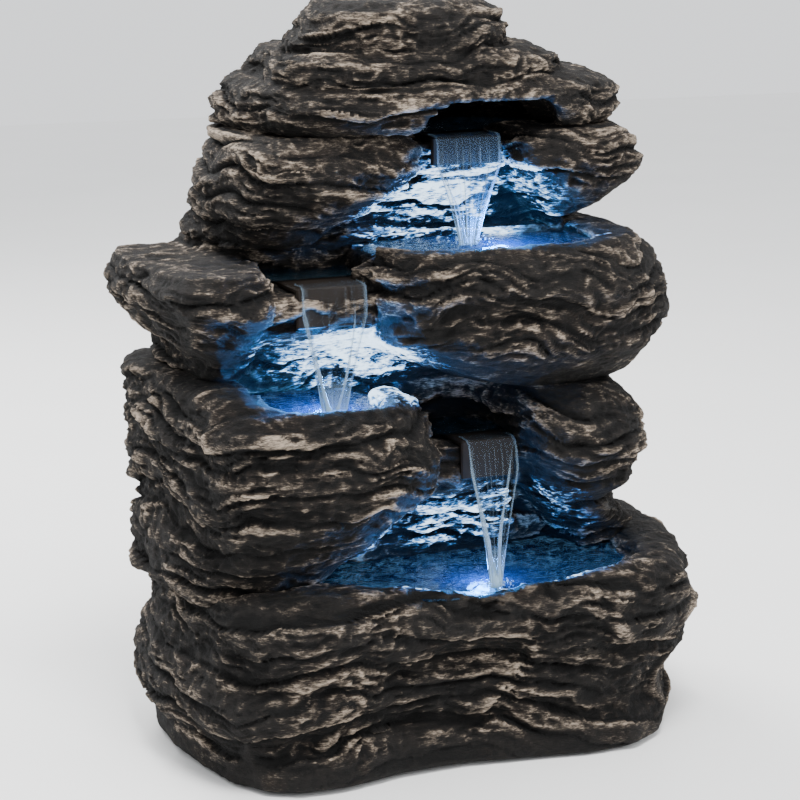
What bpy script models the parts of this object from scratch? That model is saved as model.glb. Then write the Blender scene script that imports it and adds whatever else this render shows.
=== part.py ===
"""Tabletop rock fountain: four stacked cast-resin rocks with a lift-off cap, three spillways, a submersible
pump in the basin behind the front pool, a riser hose, and an LED lamp in each pool.

Frame: +X to the viewer's right, -Y towards the viewer, +Z up, origin on the table under the middle of the
fountain. Sizes below are in millimetres, and MM turns them into Blender's metres.
"""

import math

import bmesh
import bpy
from mathutils import Matrix, Vector

MM = 0.001

# Driving dimensions, in millimetres
GAP = 0.3  # clearance between two pieces that rest on each other
SEAT_CLEARANCE = 0.6  # room round a rock where it sits in the rock below
SHIFT_X, SHIFT_Y = 1.3, 8.7  # puts the origin under the middle of the whole fountain
RING_POINTS = 24  # points round a rock
ROCK_WOBBLE = 1.6  # how far weathering moves a rock's face

FOOT_HEIGHT, FOOT_PROUD, FOOT_RADIUS = 3.5, 1.5, 8.0
FEET = {"front_left": (-102, -56), "front_right": (98, -60), "back_left": (-104, 62), "back_right": (108, 58)}
BASIN_FLOOR = 14.0
BACK_PLANES = {"basin": 86.0, "lower": 88.0, "middle": 85.0, "upper": 80.0, "cap": 73.0}
CHAMBER_BACK = 70.0  # inner face of the lower tier's back wall

LIP_THICKNESS = 3.0
HOSE_X, HOSE_Y, HOSE_OUTER, HOSE_INNER = 22.0, 30.0, 7.0, 5.0
HOSE_TOP = 289.9
LEAD_RADIUS = 1.6
PUMP_BOTTOM, PUMP_TOP, PUMP_FRONT, PUMP_BACK, PUMP_HALF_WIDTH = 20.0, 54.0, 22.0, 58.0, 22.0
IMPELLER_Z, SHAFT_RADIUS = 37.0, 1.1
DIAL_Y, DIAL_Z = 44.0, 31.0
DOOR_X, DOOR_Z, DOOR_HALF_WIDTH, DOOR_HALF_HEIGHT = 24.0, 140.0, 46.0, 31.0
DOOR_REBATE, REBATE_LEDGE = 77.3, 8.0
DRAIN_X, DRAIN_Z, DRAIN_RADIUS = -70.0, 26.0, 5.0
GLAND_X, GLAND_Z, GLAND_RADIUS = -38.0, 112.0, 5.0
JOINER_X, JOINER_Y, JOINER_BOTTOM, JOINER_TOP = -3.0, 41.0, 128.0, 150.0
LAMPS = {"upper": (32, -36, 247), "middle": (-70, -56, 174), "lower": (8, -70, 80)}  # x, y and the pool's floor
LAMP_RADIUS = 8.5
SEAL_RADIUS = 4.0


# ---------------------------------------------------------------- materials


def material(name, colour, roughness, metallic=0.0):
    made = bpy.data.materials.new(name)
    made.use_nodes = True
    shader = made.node_tree.nodes["Principled BSDF"]
    shader.inputs["Base Color"].default_value = (*colour, 1.0)
    shader.inputs["Roughness"].default_value = roughness
    shader.inputs["Metallic"].default_value = metallic
    return made


def make_materials():
    return {
        "rock": material("cast_resin_rock", (0.085, 0.072, 0.060), 0.75),
        "lip": material("moulded_spill_lip", (0.065, 0.055, 0.047), 0.35),
        "pump": material("pump_plastic", (0.02, 0.02, 0.022), 0.45),
        "impeller": material("impeller_plastic", (0.75, 0.75, 0.72), 0.4),
        "shaft": material("ceramic_shaft", (0.85, 0.84, 0.80), 0.25),
        "foam": material("filter_foam", (0.03, 0.03, 0.035), 0.95),
        "hose": material("clear_hose", (0.62, 0.66, 0.66), 0.25),
        "rubber": material("black_rubber", (0.018, 0.018, 0.018), 0.7),
        "lamp": material("lamp_plastic", (0.04, 0.04, 0.045), 0.4),
        "lens": material("lamp_lens", (0.70, 0.85, 1.0), 0.08),
        "board": material("lamp_board", (0.80, 0.80, 0.72), 0.5),
        "lead": material("lead_sheath", (0.015, 0.015, 0.016), 0.5),
    }


# ---------------------------------------------------------------- shape tools


def clear_scene():
    for obj in list(bpy.data.objects):
        bpy.data.objects.remove(obj)


def add_object(name, bm, finish=None):
    """An object holding the bmesh, whose sizes are in millimetres, in the shifted frame."""
    bmesh.ops.recalc_face_normals(bm, faces=bm.faces)
    bm.transform(Matrix.Translation((SHIFT_X * MM, SHIFT_Y * MM, 0.0)) @ Matrix.Scale(MM, 4))
    mesh = bpy.data.meshes.new(name)
    bm.to_mesh(mesh)
    bm.free()
    obj = bpy.data.objects.new(name, mesh)
    bpy.context.scene.collection.objects.link(obj)
    if finish:
        mesh.materials.append(finish)
    return obj


def settle(obj):
    """Applies the object's modifiers to its mesh."""
    bpy.context.view_layer.update()
    evaluated = obj.evaluated_get(bpy.context.evaluated_depsgraph_get())
    settled = bpy.data.meshes.new_from_object(evaluated)
    obj.modifiers.clear()
    obj.data = settled
    return obj


def combine(obj, others, operation):
    """Joins the other objects to this one, or cuts them from it, and removes them."""
    for other in others:
        boolean = obj.modifiers.new("combine", "BOOLEAN")
        boolean.operation = operation
        boolean.object = other
        settle(obj)
        bpy.data.objects.remove(other)
    return obj


def smooth_loop(points, count):
    """A closed Catmull-Rom curve through the points, read at count even steps."""
    n = len(points)
    loop = []
    for step in range(count):
        place = step * n / count
        i, t = int(place), place % 1.0
        a, b, c, d = (Vector(points[(i + k) % n]) for k in (-1, 0, 1, 2))
        loop.append(
            0.5 * (2 * b + (c - a) * t + (2 * a - 5 * b + 4 * c - d) * t**2 + (3 * b - a - 3 * c + d) * t**3)
        )
    return loop


def loft(rings):
    """A closed bmesh skinned over rings of the same number of points, listed from the bottom up."""
    bm = bmesh.new()
    made = [[bm.verts.new(point) for point in ring] for ring in rings]
    for low, high in zip(made, made[1:]):
        for i in range(len(low)):
            j = (i + 1) % len(low)
            bm.faces.new((low[i], low[j], high[j], high[i]))
    bm.faces.new(reversed(made[0]))
    bm.faces.new(made[-1])
    bmesh.ops.triangulate(bm, faces=bm.faces)
    return bm


# Plan outlines in a unit square: x runs from the left end to the right, y from the front to the back.
KIDNEY = [
    (0.99, 0.86), (0.92, 1.0), (0.52, 1.0), (0.15, 1.0), (0.035, 0.84), (0.0, 0.58), (0.015, 0.27), (0.07, 0.06),
    (0.19, 0.0), (0.41, 0.07), (0.62, 0.03), (0.8, 0.01), (0.93, 0.15), (1.0, 0.5),
]
SLAB = [
    (1.0, 0.82), (0.93, 1.0), (0.55, 1.0), (0.17, 1.0), (0.03, 0.86), (0.0, 0.6), (0.03, 0.3), (0.11, 0.06),
    (0.36, 0.0), (0.66, 0.02), (0.86, 0.13), (0.97, 0.36), (1.01, 0.6),
]
BOULDER = [
    (1.0, 0.58), (0.93, 0.93), (0.58, 1.0), (0.16, 0.95), (0.0, 0.62), (0.05, 0.22), (0.28, 0.02), (0.62, 0.0),
    (0.89, 0.17),
]
BLUFF = [
    (1.0, 0.5), (1.0, 1.0), (0.5, 1.0), (0.0, 1.0), (0.0, 0.5), (0.0, 0.06), (0.3, 0.0), (0.7, 0.0), (1.0, 0.06),
]
POOL = [
    (1.0, 0.6), (0.9, 0.95), (0.5, 1.0), (0.08, 0.92), (0.0, 0.55), (0.08, 0.2), (0.35, 0.02), (0.7, 0.0),
    (0.94, 0.2),
]


def rock(name, outline, back, levels, grow=0.0, wobble=ROCK_WOBBLE, seed=0.0):
    """A weathered block. Each level is (height, left end, right end, front), and the back is one flat plane.
    grow makes it that much larger all round, as the cutter that leaves room for it."""
    unit = smooth_loop(outline, RING_POINTS)
    rings = []
    for index, (height, left, right, front) in enumerate(levels):
        middle = Vector(((left + right) / 2, (front + back) / 2))
        ring = []
        for i, (u, w) in enumerate(unit):
            turn = 2 * math.pi * i / RING_POINTS
            point = Vector((left + u * (right - left), front + w * (back - front)))
            phase = seed + 1.9 * index
            lump = wobble * (math.sin(3 * turn + phase) + 0.6 * math.sin(7 * turn + 2.3 * phase))
            outward = (point - middle).normalized()
            point += outward * (lump * max(0.0, 1 - w**3) + grow)
            point.y = min(point.y, back + grow)
            ring.append((point.x, point.y, height))
        rings.append(ring)
    if grow:
        rings[0] = [(x, y, z - GAP) for x, y, z in rings[0]]
    return add_object(name, loft(rings))


def box(name, low, high, bevel=0.0, segments=2, finish=None):
    """A box between two corners, with its edges rounded."""
    bm = bmesh.new()
    size = Vector(high) - Vector(low)
    middle = (Vector(high) + Vector(low)) / 2
    bmesh.ops.create_cube(bm, size=1.0, matrix=Matrix.Translation(middle) @ Matrix.Diagonal((*size, 1.0)))
    obj = add_object(name, bm, finish)
    if bevel:
        rounding = obj.modifiers.new("rounding", "BEVEL")
        rounding.width = bevel * MM
        rounding.segments = segments
        settle(obj)
    return obj


AXIS_TURNS = {
    "Z": Matrix.Identity(4),
    "Y": Matrix.Rotation(-math.pi / 2, 4, "X"),
    "X": Matrix.Rotation(math.pi / 2, 4, "Y"),
}


def turned(name, profile, centre, axis="Z", segments=20, finish=None):
    """A turned piece: the profile's (radius, height) points, spun round the axis through centre. A profile that
    starts and ends on the axis is solid, and any other is a closed ring."""
    bm = bmesh.new()
    on_axis = [abs(radius) < 1e-6 for radius, _ in profile]
    rows = []
    for (radius, height), single in zip(profile, on_axis):
        turns = [2 * math.pi * k / segments for k in range(1 if single else segments)]
        rows.append([bm.verts.new((radius * math.cos(a), radius * math.sin(a), height)) for a in turns])
    pairs = list(zip(rows, rows[1:]))
    if not on_axis[0]:
        pairs.append((rows[-1], rows[0]))
    for low, high in pairs:
        for k in range(segments):
            j = (k + 1) % segments
            corners = [low[k % len(low)], low[j % len(low)], high[j % len(high)], high[k % len(high)]]
            bm.faces.new(list(dict.fromkeys(corners)))
    bm.transform(Matrix.Translation(centre) @ AXIS_TURNS[axis])
    return add_object(name, bm, finish)


def rod(name, radius, length, centre, axis="Z", segments=20, finish=None):
    """A plain cylinder that starts at centre and runs along the axis."""
    return turned(name, [(0, 0), (radius, 0), (radius, length), (0, length)], centre, axis, segments, finish)


def route(points, step):
    """A smooth open curve through the points, read about every step millimetres."""
    before, after = Vector(points[0]) * 2 - Vector(points[1]), Vector(points[-1]) * 2 - Vector(points[-2])
    ends = [before, *map(Vector, points), after]
    line = [Vector(points[0])]
    for a, b, c, d in zip(ends, ends[1:], ends[2:], ends[3:]):
        pieces = max(1, round((c - b).length / step))
        for k in range(1, pieces + 1):
            t = k / pieces
            line.append(
                0.5 * (2 * b + (c - a) * t + (2 * a - 5 * b + 4 * c - d) * t**2 + (3 * b - a - 3 * c + d) * t**3)
            )
    return line


def lead(name, points, finish, radius=LEAD_RADIUS, step=11.0):
    """A round lead along the route, with flat ends."""
    curve = bpy.data.curves.new(name, "CURVE")
    curve.dimensions = "3D"
    line = route(points, step)
    spline = curve.splines.new("POLY")
    spline.points.add(len(line) - 1)
    for at, point in zip(spline.points, line):
        at.co = ((point.x + SHIFT_X) * MM, (point.y + SHIFT_Y) * MM, point.z * MM, 1.0)
    curve.bevel_depth = radius * MM
    curve.bevel_resolution = 2
    curve.use_fill_caps = True
    curve.materials.append(finish)
    obj = bpy.data.objects.new(name, curve)
    bpy.context.scene.collection.objects.link(obj)
    return obj


# ---------------------------------------------------------------- the rocks

BASIN_LEVELS = [
    (1.5, -131, 131, -92), (5, -133, 133, -95), (16, -133, 135, -92), (24, -138, 134, -87), (34, -144, 135, -92),
    (46, -145, 141, -96), (54, -139, 141, -92), (64, -138, 144, -99), (76, -137, 143, -104), (88, -138, 141, -105),
    (95, -134, 137, -101), (98, -127, 130, -94),
]
LOWER_LEFT_LEVELS = [
    (90, -140, -62, -60), (101, -144, -52, -66), (112, -144, -38, -78), (124, -141, -24, -84), (136, -142, -12, -94),
    (148, -143, -5, -103), (160, -144, -6, -107), (172, -147, -12, -103), (182, -145, -18, -104),
    (189, -139, -27, -95),
]
LOWER_SHOULDER_LEVELS = [
    (172, -138, -100, -76), (180, -142, -100, -84), (189, -141, -100, -80), (195, -134, -104, -70),
]
LOWER_RIGHT_LEVELS = [
    (90, 78, 118, -30), (102, 72, 116, -34), (112, 62, 105, -44), (122, 50, 101, -52), (132, 40, 110, -68),
    (143, 32, 111, -70), (152, 29, 115, -77), (164, 29, 115, -76), (173, 30, 112, -70), (183.7, 36, 102, -58),
]
LOWER_CORE_LEVELS = [(90, -122, 118, -12), (120, -124, 103, -22), (150, -124, 104, -26), (183.7, -116, 100, -22)]
LOWER_WEIR_LEVELS = [
    (90, -30, 50, -10), (112, -24, 46, -24), (126, -20, 40, -36), (138, -18, 36, -51.7), (157, -18, 36, -51.7),
]
MIDDLE_LEFT_LEVELS = [
    (196, -128, -96, -34), (206, -125, -94, -40), (215, -136, -92, -55), (224, -142, -90, -62),
    (233, -151, -88, -68), (243, -153, -89, -70), (251, -146, -94, -61),
]
MIDDLE_RIGHT_LEVELS = [
    (184.3, 22, 110, -48), (190, 4, 116, -58), (197, -14, 118, -68), (205, -34, 128, -80), (215, -48, 131, -87),
    (226, -50, 127, -84), (238, -51, 125, -90), (250, -49, 118, -88), (259, -42, 107, -80),
]
MIDDLE_CORE_LEVELS = [(184.3, -110, 108, -16), (206, -108, 110, -20), (230, -112, 112, -16), (255.7, -108, 104, -10)]
MIDDLE_WEIR_LEVELS = [
    (184.3, -106, -30, -10), (204, -104, -34, -26), (214, -102, -38, -40), (222, -100, -40, -54.7),
    (240, -100, -40, -54.7),
]
UPPER_LEFT_LEVELS = [
    (256.3, -107, -50, -14), (264, -107, -42, -24), (273, -105, -28, -36), (284, -107, -8, -45), (295, -103, 2, -48),
    (304, -99, -1, -44), (311.7, -92, -10, -34),
]
UPPER_RIGHT_LEVELS = [
    (256.3, 72, 90, -6), (265, 66, 93, -14), (273, 57, 102, -28), (283, 45, 119, -38), (293, 42, 123, -43),
    (303, 42, 119, -38), (311.7, 46, 112, -30),
]
UPPER_CORE_LEVELS = [(256.3, -88, 92, 4), (280, -86, 96, 0), (311.7, -80, 100, 6)]
UPPER_WEIR_LEVELS = [(256.3, -6, 48, 6), (272, -6, 48, 0), (284, -4, 47, -11.7), (304, -4, 47, -11.7)]
CAP_LOW_LEVELS = [
    (312.3, -87, 114, -38), (317, -92, 119, -44), (325, -93, 118, -47), (332, -89, 114, -43), (337, -82, 106, -34),
]
CAP_MIDDLE_LEVELS = [(330, -74, 80, -30), (338, -79, 85, -38), (346, -75, 78, -38), (352, -68, 70, -30)]
CAP_TOP_LEVELS = [
    (347, -60, 48, -24), (354, -66, 54, -32), (363, -57, 54, -33), (370, -53, 48, -28), (375, -46, 38, -18),
]

ROCKS = {
    "basin": [("basin_main", KIDNEY, BASIN_LEVELS)],
    "lower": [
        ("lower_core", SLAB, LOWER_CORE_LEVELS),
        ("lower_left", SLAB, LOWER_LEFT_LEVELS),
        ("lower_shoulder", SLAB, LOWER_SHOULDER_LEVELS),
        ("lower_right", SLAB, LOWER_RIGHT_LEVELS),
        ("lower_weir", BLUFF, LOWER_WEIR_LEVELS),
    ],
    "middle": [
        ("middle_core", SLAB, MIDDLE_CORE_LEVELS),
        ("middle_left", SLAB, MIDDLE_LEFT_LEVELS),
        ("middle_right", SLAB, MIDDLE_RIGHT_LEVELS),
        ("middle_weir", BLUFF, MIDDLE_WEIR_LEVELS),
    ],
    "upper": [
        ("upper_core", SLAB, UPPER_CORE_LEVELS),
        ("upper_left", SLAB, UPPER_LEFT_LEVELS),
        ("upper_right", SLAB, UPPER_RIGHT_LEVELS),
        ("upper_weir", BLUFF, UPPER_WEIR_LEVELS),
    ],
    "cap": [
        ("cap_low", SLAB, CAP_LOW_LEVELS),
        ("cap_middle", SLAB, CAP_MIDDLE_LEVELS),
        ("cap_top", BOULDER, CAP_TOP_LEVELS),
    ],
}
# The back plane of each block that is not as deep as its tier
BLOCK_BACKS = {
    "lower_left": 62.0, "lower_shoulder": 70.0, "lower_right": 74.0, "lower_weir": 0.0, "middle_left": 62.0,
    "middle_right": 50.0, "middle_weir": 4.0, "upper_left": 62.0, "upper_right": 60.0, "upper_weir": 20.0,
    "cap_middle": 64.0, "cap_top": 50.0,
}
# A weir's flat front carries its spill lip, so it isn't weathered
SMOOTH_BLOCKS = {"lower_weir", "middle_weir", "upper_weir"}

# Hollows have the same kind of levels as rocks, and the y of their flat back.
HOLLOWS = {
    "basin": [
        (
            "reservoir", SLAB, 72,
            [(BASIN_FLOOR, -108, 100, -58), (22, -116, 106, -68), (66, -118, 108, -74), (72, -112, 102, -66)],
        ),
        ("well", SLAB, 72, [(60, -96, 94, -40), (92, -96, 94, -42)]),
        ("front_pool", POOL, 30, [(80, -66, 92, -80), (88, -74, 100, -88), (99, -80, 106, -93)]),
    ],
    "lower": [
        ("pool", POOL, -8, [(174, -96, -46, -74), (181, -104, -42, -82), (192, -110, -38, -88)]),
        ("chamber", SLAB, CHAMBER_BACK, [(88, -104, 98, 6), (186, -96, 84, 6)]),
    ],
    "middle": [
        ("pool", POOL, -2, [(247, -22, 72, -54), (253, -32, 82, -64), (263, -38, 88, -71)]),
        ("chamber", SLAB, 68, [(183, -90, 88, 12), (244, -86, 86, 12)]),
    ],
    "upper": [
        ("header", SLAB, 60, [(286, -40, 72, 14), (300, -44, 78, 9), (313, -46, 80, 7)]),
    ],
    "cap": [
        ("cavity", SLAB, 58, [(311, -46, 78, -14), (324, -36, 70, -6)]),
        ("slot", SLAB, 4, [(311, -17, 70, -62), (321, -13, 66, -62), (328, -4, 57, -60)]),  # over the top lip
    ],
}
# Plain boxes cut from each tier: lowest corner, highest corner
BOXES = {
    "basin": [],
    "lower": [
        ((-48, -42, 181), (-22, -12, 193)),  # the sill that the middle pool spills over
        ((-30, -40, 157), (31, -8, 193)),  # the trough behind the lower lip
    ],
    "middle": [
        ((-10, 14, 240), (54, 64, 257)),  # the shaft for the hose
        ((-46, -38, 252), (-26, -8, 264)),  # the sill that the upper pool spills over
        ((-96, -36, 240), (-38, -6, 264)),  # the trough behind the middle lip
    ],
    "upper": [],
    "cap": [],
}
# Each spillway: the lip's ends, its front, its top, its back, and how far its apron hangs
SPILLWAYS = {
    "upper": {
        "name": "spill_lip_top", "left": 3, "right": 40, "front": -15, "top": 307.3, "back": 12, "apron": 14,
    },
    "middle": {
        "name": "spill_lip_middle", "left": -86, "right": -50, "front": -58, "top": 243.3, "back": -20, "apron": 20,
    },
    "lower": {
        "name": "spill_lip_lower", "left": 2, "right": 31, "front": -55, "top": 160.3, "back": -18, "apron": 20,
    },
}


def rock_stack(tier, name, grow=0.0):
    """All the blocks of one tier, joined into one solid."""
    made = []
    for order, (part, outline, levels) in enumerate(ROCKS[tier]):
        back = BLOCK_BACKS.get(part, BACK_PLANES[tier])
        wobble = 0.0 if part in SMOOTH_BLOCKS else ROCK_WOBBLE
        made.append(rock(part, outline, back, levels, grow, wobble, seed=1.3 * order))
    whole = combine(made[0], made[1:], "UNION")
    whole.name = name
    return whole


def spillway_cutters(tier):
    """The gate that a lip's plate lies in, and the clear space in front of its apron."""
    lip = SPILLWAYS[tier]
    low_x, high_x = lip["left"] - SEAT_CLEARANCE, lip["right"] + SEAT_CLEARANCE
    weir_top, weir_front = lip["top"] - LIP_THICKNESS - GAP, lip["front"] + LIP_THICKNESS + GAP
    gate = box("gate", (low_x, lip["front"] - 8, weir_top), (high_x, lip["back"] + SEAT_CLEARANCE, lip["top"] + 12))
    apron_foot = lip["top"] - lip["apron"] - SEAT_CLEARANCE
    face = box("face", (low_x, lip["front"] - 14, apron_foot), (high_x, weir_front, lip["top"] + 12))
    return [gate, face]


def holes(tier):
    """Round holes drilled through a tier, for the feet, hose, leads, drain and cord."""
    clear = SEAT_CLEARANCE / 2
    if tier == "basin":
        made = [rod("socket", FOOT_RADIUS + clear, FOOT_HEIGHT + GAP, (x, y, 0)) for x, y in FEET.values()]
        made.append(rod("drain", DRAIN_RADIUS + clear, 40, (DRAIN_X, 60, DRAIN_Z), "Y"))
        return made
    if tier == "lower":
        wall_seal = rod("lead_hole", SEAL_RADIUS + clear, 32, (-58, -20, 178), "Y")
        return [wall_seal, rod("gland", GLAND_RADIUS + clear, 40, (GLAND_X, 60, GLAND_Z), "Y")]
    if tier == "middle":
        return [rod("lead_hole", SEAL_RADIUS + clear, 32, (2, -16, 251), "Y")]
    if tier == "upper":
        return [rod("hose_hole", HOSE_OUTER + 2 * clear, 40, (HOSE_X, HOSE_Y, 250))]
    return []


def door_cutters():
    """The rebate that the rear door sits in, and the smaller opening inside it."""
    low_x, high_x = DOOR_X - DOOR_HALF_WIDTH, DOOR_X + DOOR_HALF_WIDTH
    low_z, high_z = DOOR_Z - DOOR_HALF_HEIGHT, DOOR_Z + DOOR_HALF_HEIGHT
    ledge = REBATE_LEDGE
    rebate = box("rebate", (low_x, DOOR_REBATE, low_z), (high_x, 96, high_z))
    opening = box("opening", (low_x + ledge, 60, low_z + ledge), (high_x - ledge, DOOR_REBATE + 1, high_z - ledge))
    return [rebate, opening]


TIERS = {
    "basin": "base_basin", "lower": "lower_tier", "middle": "middle_tier", "upper": "upper_tier", "cap": "cap_rock",
}


def make_rocks(finish):
    order = list(TIERS)
    for tier, above in zip(order, order[1:] + [None]):
        whole = rock_stack(tier, TIERS[tier])
        cutters = [rock(part, outline, back, levels, wobble=0.0) for part, outline, back, levels in HOLLOWS[tier]]
        cutters += [box("cut", low, high) for low, high in BOXES[tier]]
        cutters += holes(tier)
        if tier in SPILLWAYS:
            cutters += spillway_cutters(tier)
        if tier == "lower":
            cutters += door_cutters()
        if above and above != "cap":
            cutters.append(rock_stack(above, "seat", SEAT_CLEARANCE))
        combine(whole, cutters, "DIFFERENCE")
        whole.data.materials.clear()
        whole.data.materials.append(finish)


def make_lips(finish):
    """Each lip is a plate in the gate with an apron that hangs in front of the weir."""
    for lip in SPILLWAYS.values():
        under, front, foot = lip["top"] - LIP_THICKNESS, lip["front"], lip["top"] - lip["apron"]
        plate = box(lip["name"], (lip["left"], front, under), (lip["right"], lip["back"], lip["top"]), 0.8, 1, finish)
        apron = box("apron", (lip["left"], front, foot), (lip["right"], front + LIP_THICKNESS, lip["top"] - 1), 0.8, 1)
        combine(plate, [apron], "UNION")


# ---------------------------------------------------------------- rear door, drain and gland


def pivot(obj, point):
    """Moves the object's origin to the point, in millimetres, and leaves its shape where it is."""
    place = Vector(((point[0] + SHIFT_X) * MM, (point[1] + SHIFT_Y) * MM, point[2] * MM))
    obj.data.transform(Matrix.Translation(-place))
    obj.location = place


def make_door(materials):
    low_x, high_x = DOOR_X - DOOR_HALF_WIDTH, DOOR_X + DOOR_HALF_WIDTH
    low_z, high_z = DOOR_Z - DOOR_HALF_HEIGHT, DOOR_Z + DOOR_HALF_HEIGHT
    clear, back = SEAT_CLEARANCE, BACK_PLANES["lower"]
    gasket_back = DOOR_REBATE + 2.0
    gasket = box(
        "door_gasket", (low_x + clear, DOOR_REBATE + GAP, low_z + clear), (high_x - clear, gasket_back, high_z - clear),
        finish=materials["rubber"],
    )
    ledge = REBATE_LEDGE
    inner = box("inner", (low_x + ledge, 70, low_z + ledge), (high_x - ledge, 90, high_z - ledge))
    combine(gasket, [inner], "DIFFERENCE")
    door = box(
        "rear_door", (low_x + clear, gasket_back + GAP, low_z + clear), (high_x - clear, back, high_z - clear),
        1.5, 2, materials["rock"],
    )
    finger_pull = box("finger_pull", (DOOR_X - 11, back - 4, high_z - 10), (DOOR_X + 11, back + 4, high_z + 4), 1.5, 2)
    combine(door, [finger_pull], "DIFFERENCE")
    pivot(door, (DOOR_X, back, DOOR_Z))


def make_drain(materials):
    wall = BACK_PLANES["basin"]
    seal = [(DRAIN_RADIUS + GAP, 0), (DRAIN_RADIUS + 3, 0), (DRAIN_RADIUS + 3, 1.2), (DRAIN_RADIUS + GAP, 1.2)]
    turned("drain_seal", seal, (DRAIN_X, wall + GAP, DRAIN_Z), "Y", finish=materials["rubber"])
    head = wall + 1.8
    profile = [
        (0, 70), (DRAIN_RADIUS - 0.6, 70), (DRAIN_RADIUS, 71.5), (DRAIN_RADIUS, head), (DRAIN_RADIUS + 3.5, head),
        (DRAIN_RADIUS + 3.5, head + 2), (DRAIN_RADIUS + 2.5, head + 3), (0, head + 3),
    ]
    plug = turned("drain_plug", profile, (DRAIN_X, 0, DRAIN_Z), "Y", finish=materials["rubber"])
    pivot(plug, (DRAIN_X, head, DRAIN_Z))


def make_gland(finish):
    wall = BACK_PLANES["lower"]
    bore, body, flange = 2.8, GLAND_RADIUS, GLAND_RADIUS + 2.2
    profile = [
        (bore, CHAMBER_BACK - 2), (flange, CHAMBER_BACK - 2), (flange, CHAMBER_BACK - GAP), (body, CHAMBER_BACK - GAP),
        (body, wall + GAP), (flange, wall + GAP), (flange - 0.6, wall + 2.6), (bore, wall + 2.6),
    ]
    turned("cord_grommet", profile, (GLAND_X, 0, GLAND_Z), "Y", finish=finish)


def make_feet(finish):
    edge = 0.8
    profile = [(0, 0), (FOOT_RADIUS - edge, 0), (FOOT_RADIUS, edge), (FOOT_RADIUS, FOOT_HEIGHT), (0, FOOT_HEIGHT)]
    for place, (x, y) in FEET.items():
        turned(f"foot_{place}", profile, (x, y, 0), finish=finish)


# ---------------------------------------------------------------- pump and hose


def make_pump(materials):
    left, right = HOSE_X - PUMP_HALF_WIDTH, HOSE_X + PUMP_HALF_WIDTH
    front, axis = PUMP_FRONT, (HOSE_X, PUMP_FRONT, IMPELLER_Z)
    housing = box("pump_housing", (left, front, PUMP_BOTTOM), (right, PUMP_BACK, PUMP_TOP), 4, 3, materials["pump"])
    volute = rod("volute", 11.5, 11, (HOSE_X, front - 1, IMPELLER_Z), "Y", 24)
    rotor_well = rod("rotor_well", 7.6, 17, (HOSE_X, front + 6, IMPELLER_Z), "Y", 24)
    duct = rod("duct", 2.6, 20, (HOSE_X, HOSE_Y - 1.5, IMPELLER_Z + 6), segments=16)
    combine(housing, [volute, rotor_well, duct], "DIFFERENCE")

    cover_low, cover_high = (left + 4, front - 3.3, PUMP_BOTTOM + 2), (right - 4, front - GAP, PUMP_TOP - 2)
    cover = box("pump_cover", cover_low, cover_high, 1, 1, materials["pump"])
    combine(cover, [rod("inlet", 5, 10, (HOSE_X, front - 6, IMPELLER_Z), "Y", 20)], "DIFFERENCE")

    make_impeller(materials, axis)
    make_strainer(materials, left, right, front)
    make_dial(materials["impeller"], right)
    barb = [
        (3, 0.3), (7.5, 0.3), (7.5, 3), (4.4, 3), (4.7, 6), (4.3, 7), (4.7, 10), (4.3, 11), (4.6, 14), (3, 15),
    ]
    turned("outlet_barb", barb, (HOSE_X, HOSE_Y, PUMP_TOP), finish=materials["pump"])
    cup = [(0, GAP), (5.5, GAP), (5.2, 1), (2.8, 2.6), (2.2, 3.6), (2.2, 5.7), (0, 5.7)]
    for x in (left + 8, right - 8):
        for y in (front + 6, PUMP_BACK - 6):
            side = "left" if x < HOSE_X else "right"
            end = "front" if y < HOSE_Y else "back"
            turned(f"suction_cup_{end}_{side}", cup, (x, y, BASIN_FLOOR), segments=16, finish=materials["rubber"])


def make_impeller(materials, axis):
    """A hub and backplate with five vanes in front, and the rotor behind, all round the shaft's bore."""
    bore = SHAFT_RADIUS + GAP
    profile = [
        (bore, 1.5), (3.2, 1.5), (3.2, 7), (10.5, 7), (10.5, 8.6), (6.9, 8.6), (6.9, 21.5), (bore, 21.5),
    ]
    impeller = turned("impeller", profile, axis, "Y", 24, materials["impeller"])
    vanes = []
    for k in range(5):
        vane = box("vane", (-0.7, 2, 2.6), (0.7, 7.4, 10.2))
        turn = Matrix.Rotation(2 * math.pi * k / 5, 4, "Y")
        home = Matrix.Translation((SHIFT_X * MM, SHIFT_Y * MM, 0))
        target = Matrix.Translation((axis[0] * MM, axis[1] * MM, axis[2] * MM))
        vane.data.transform(home @ target @ turn @ home.inverted())
        vanes.append(vane)
    combine(impeller, vanes, "UNION")
    pivot(impeller, (axis[0], axis[1] + 7, axis[2]))
    rod("impeller_shaft", SHAFT_RADIUS, 22, (axis[0], axis[1] + 0.6, axis[2]), "Y", 12, materials["shaft"])


def make_strainer(materials, left, right, front):
    """A slotted cage that pulls off the pump's inlet, with its foam inside."""
    back = front - 3.6
    low, high = (left + 4, back - 12.4, PUMP_BOTTOM + 2), (right - 4, back, PUMP_TOP - 2)
    wall = 2.5
    cage = box("strainer", low, high, 1.5, 2, materials["pump"])
    inside = box("inside", (low[0] + wall, low[1] + wall, low[2] + wall), (high[0] - wall, high[1] + 4, high[2] - wall))
    cutters = [inside]
    for k in range(6):
        x = low[0] + 5.4 + k * 4.6
        cutters.append(box("slot", (x, low[1] - 2, low[2] + 5), (x + 2.2, low[1] + wall + 1, high[2] - 5)))
    combine(cage, cutters, "DIFFERENCE")
    pivot(cage, (HOSE_X, back, IMPELLER_Z))
    clear = wall + SEAT_CLEARANCE
    foam_low = (low[0] + clear, low[1] + clear, low[2] + clear)
    box("filter_foam", foam_low, (high[0] - clear, high[1] - 1, high[2] - clear), 0.8, 1, materials["foam"])


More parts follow.
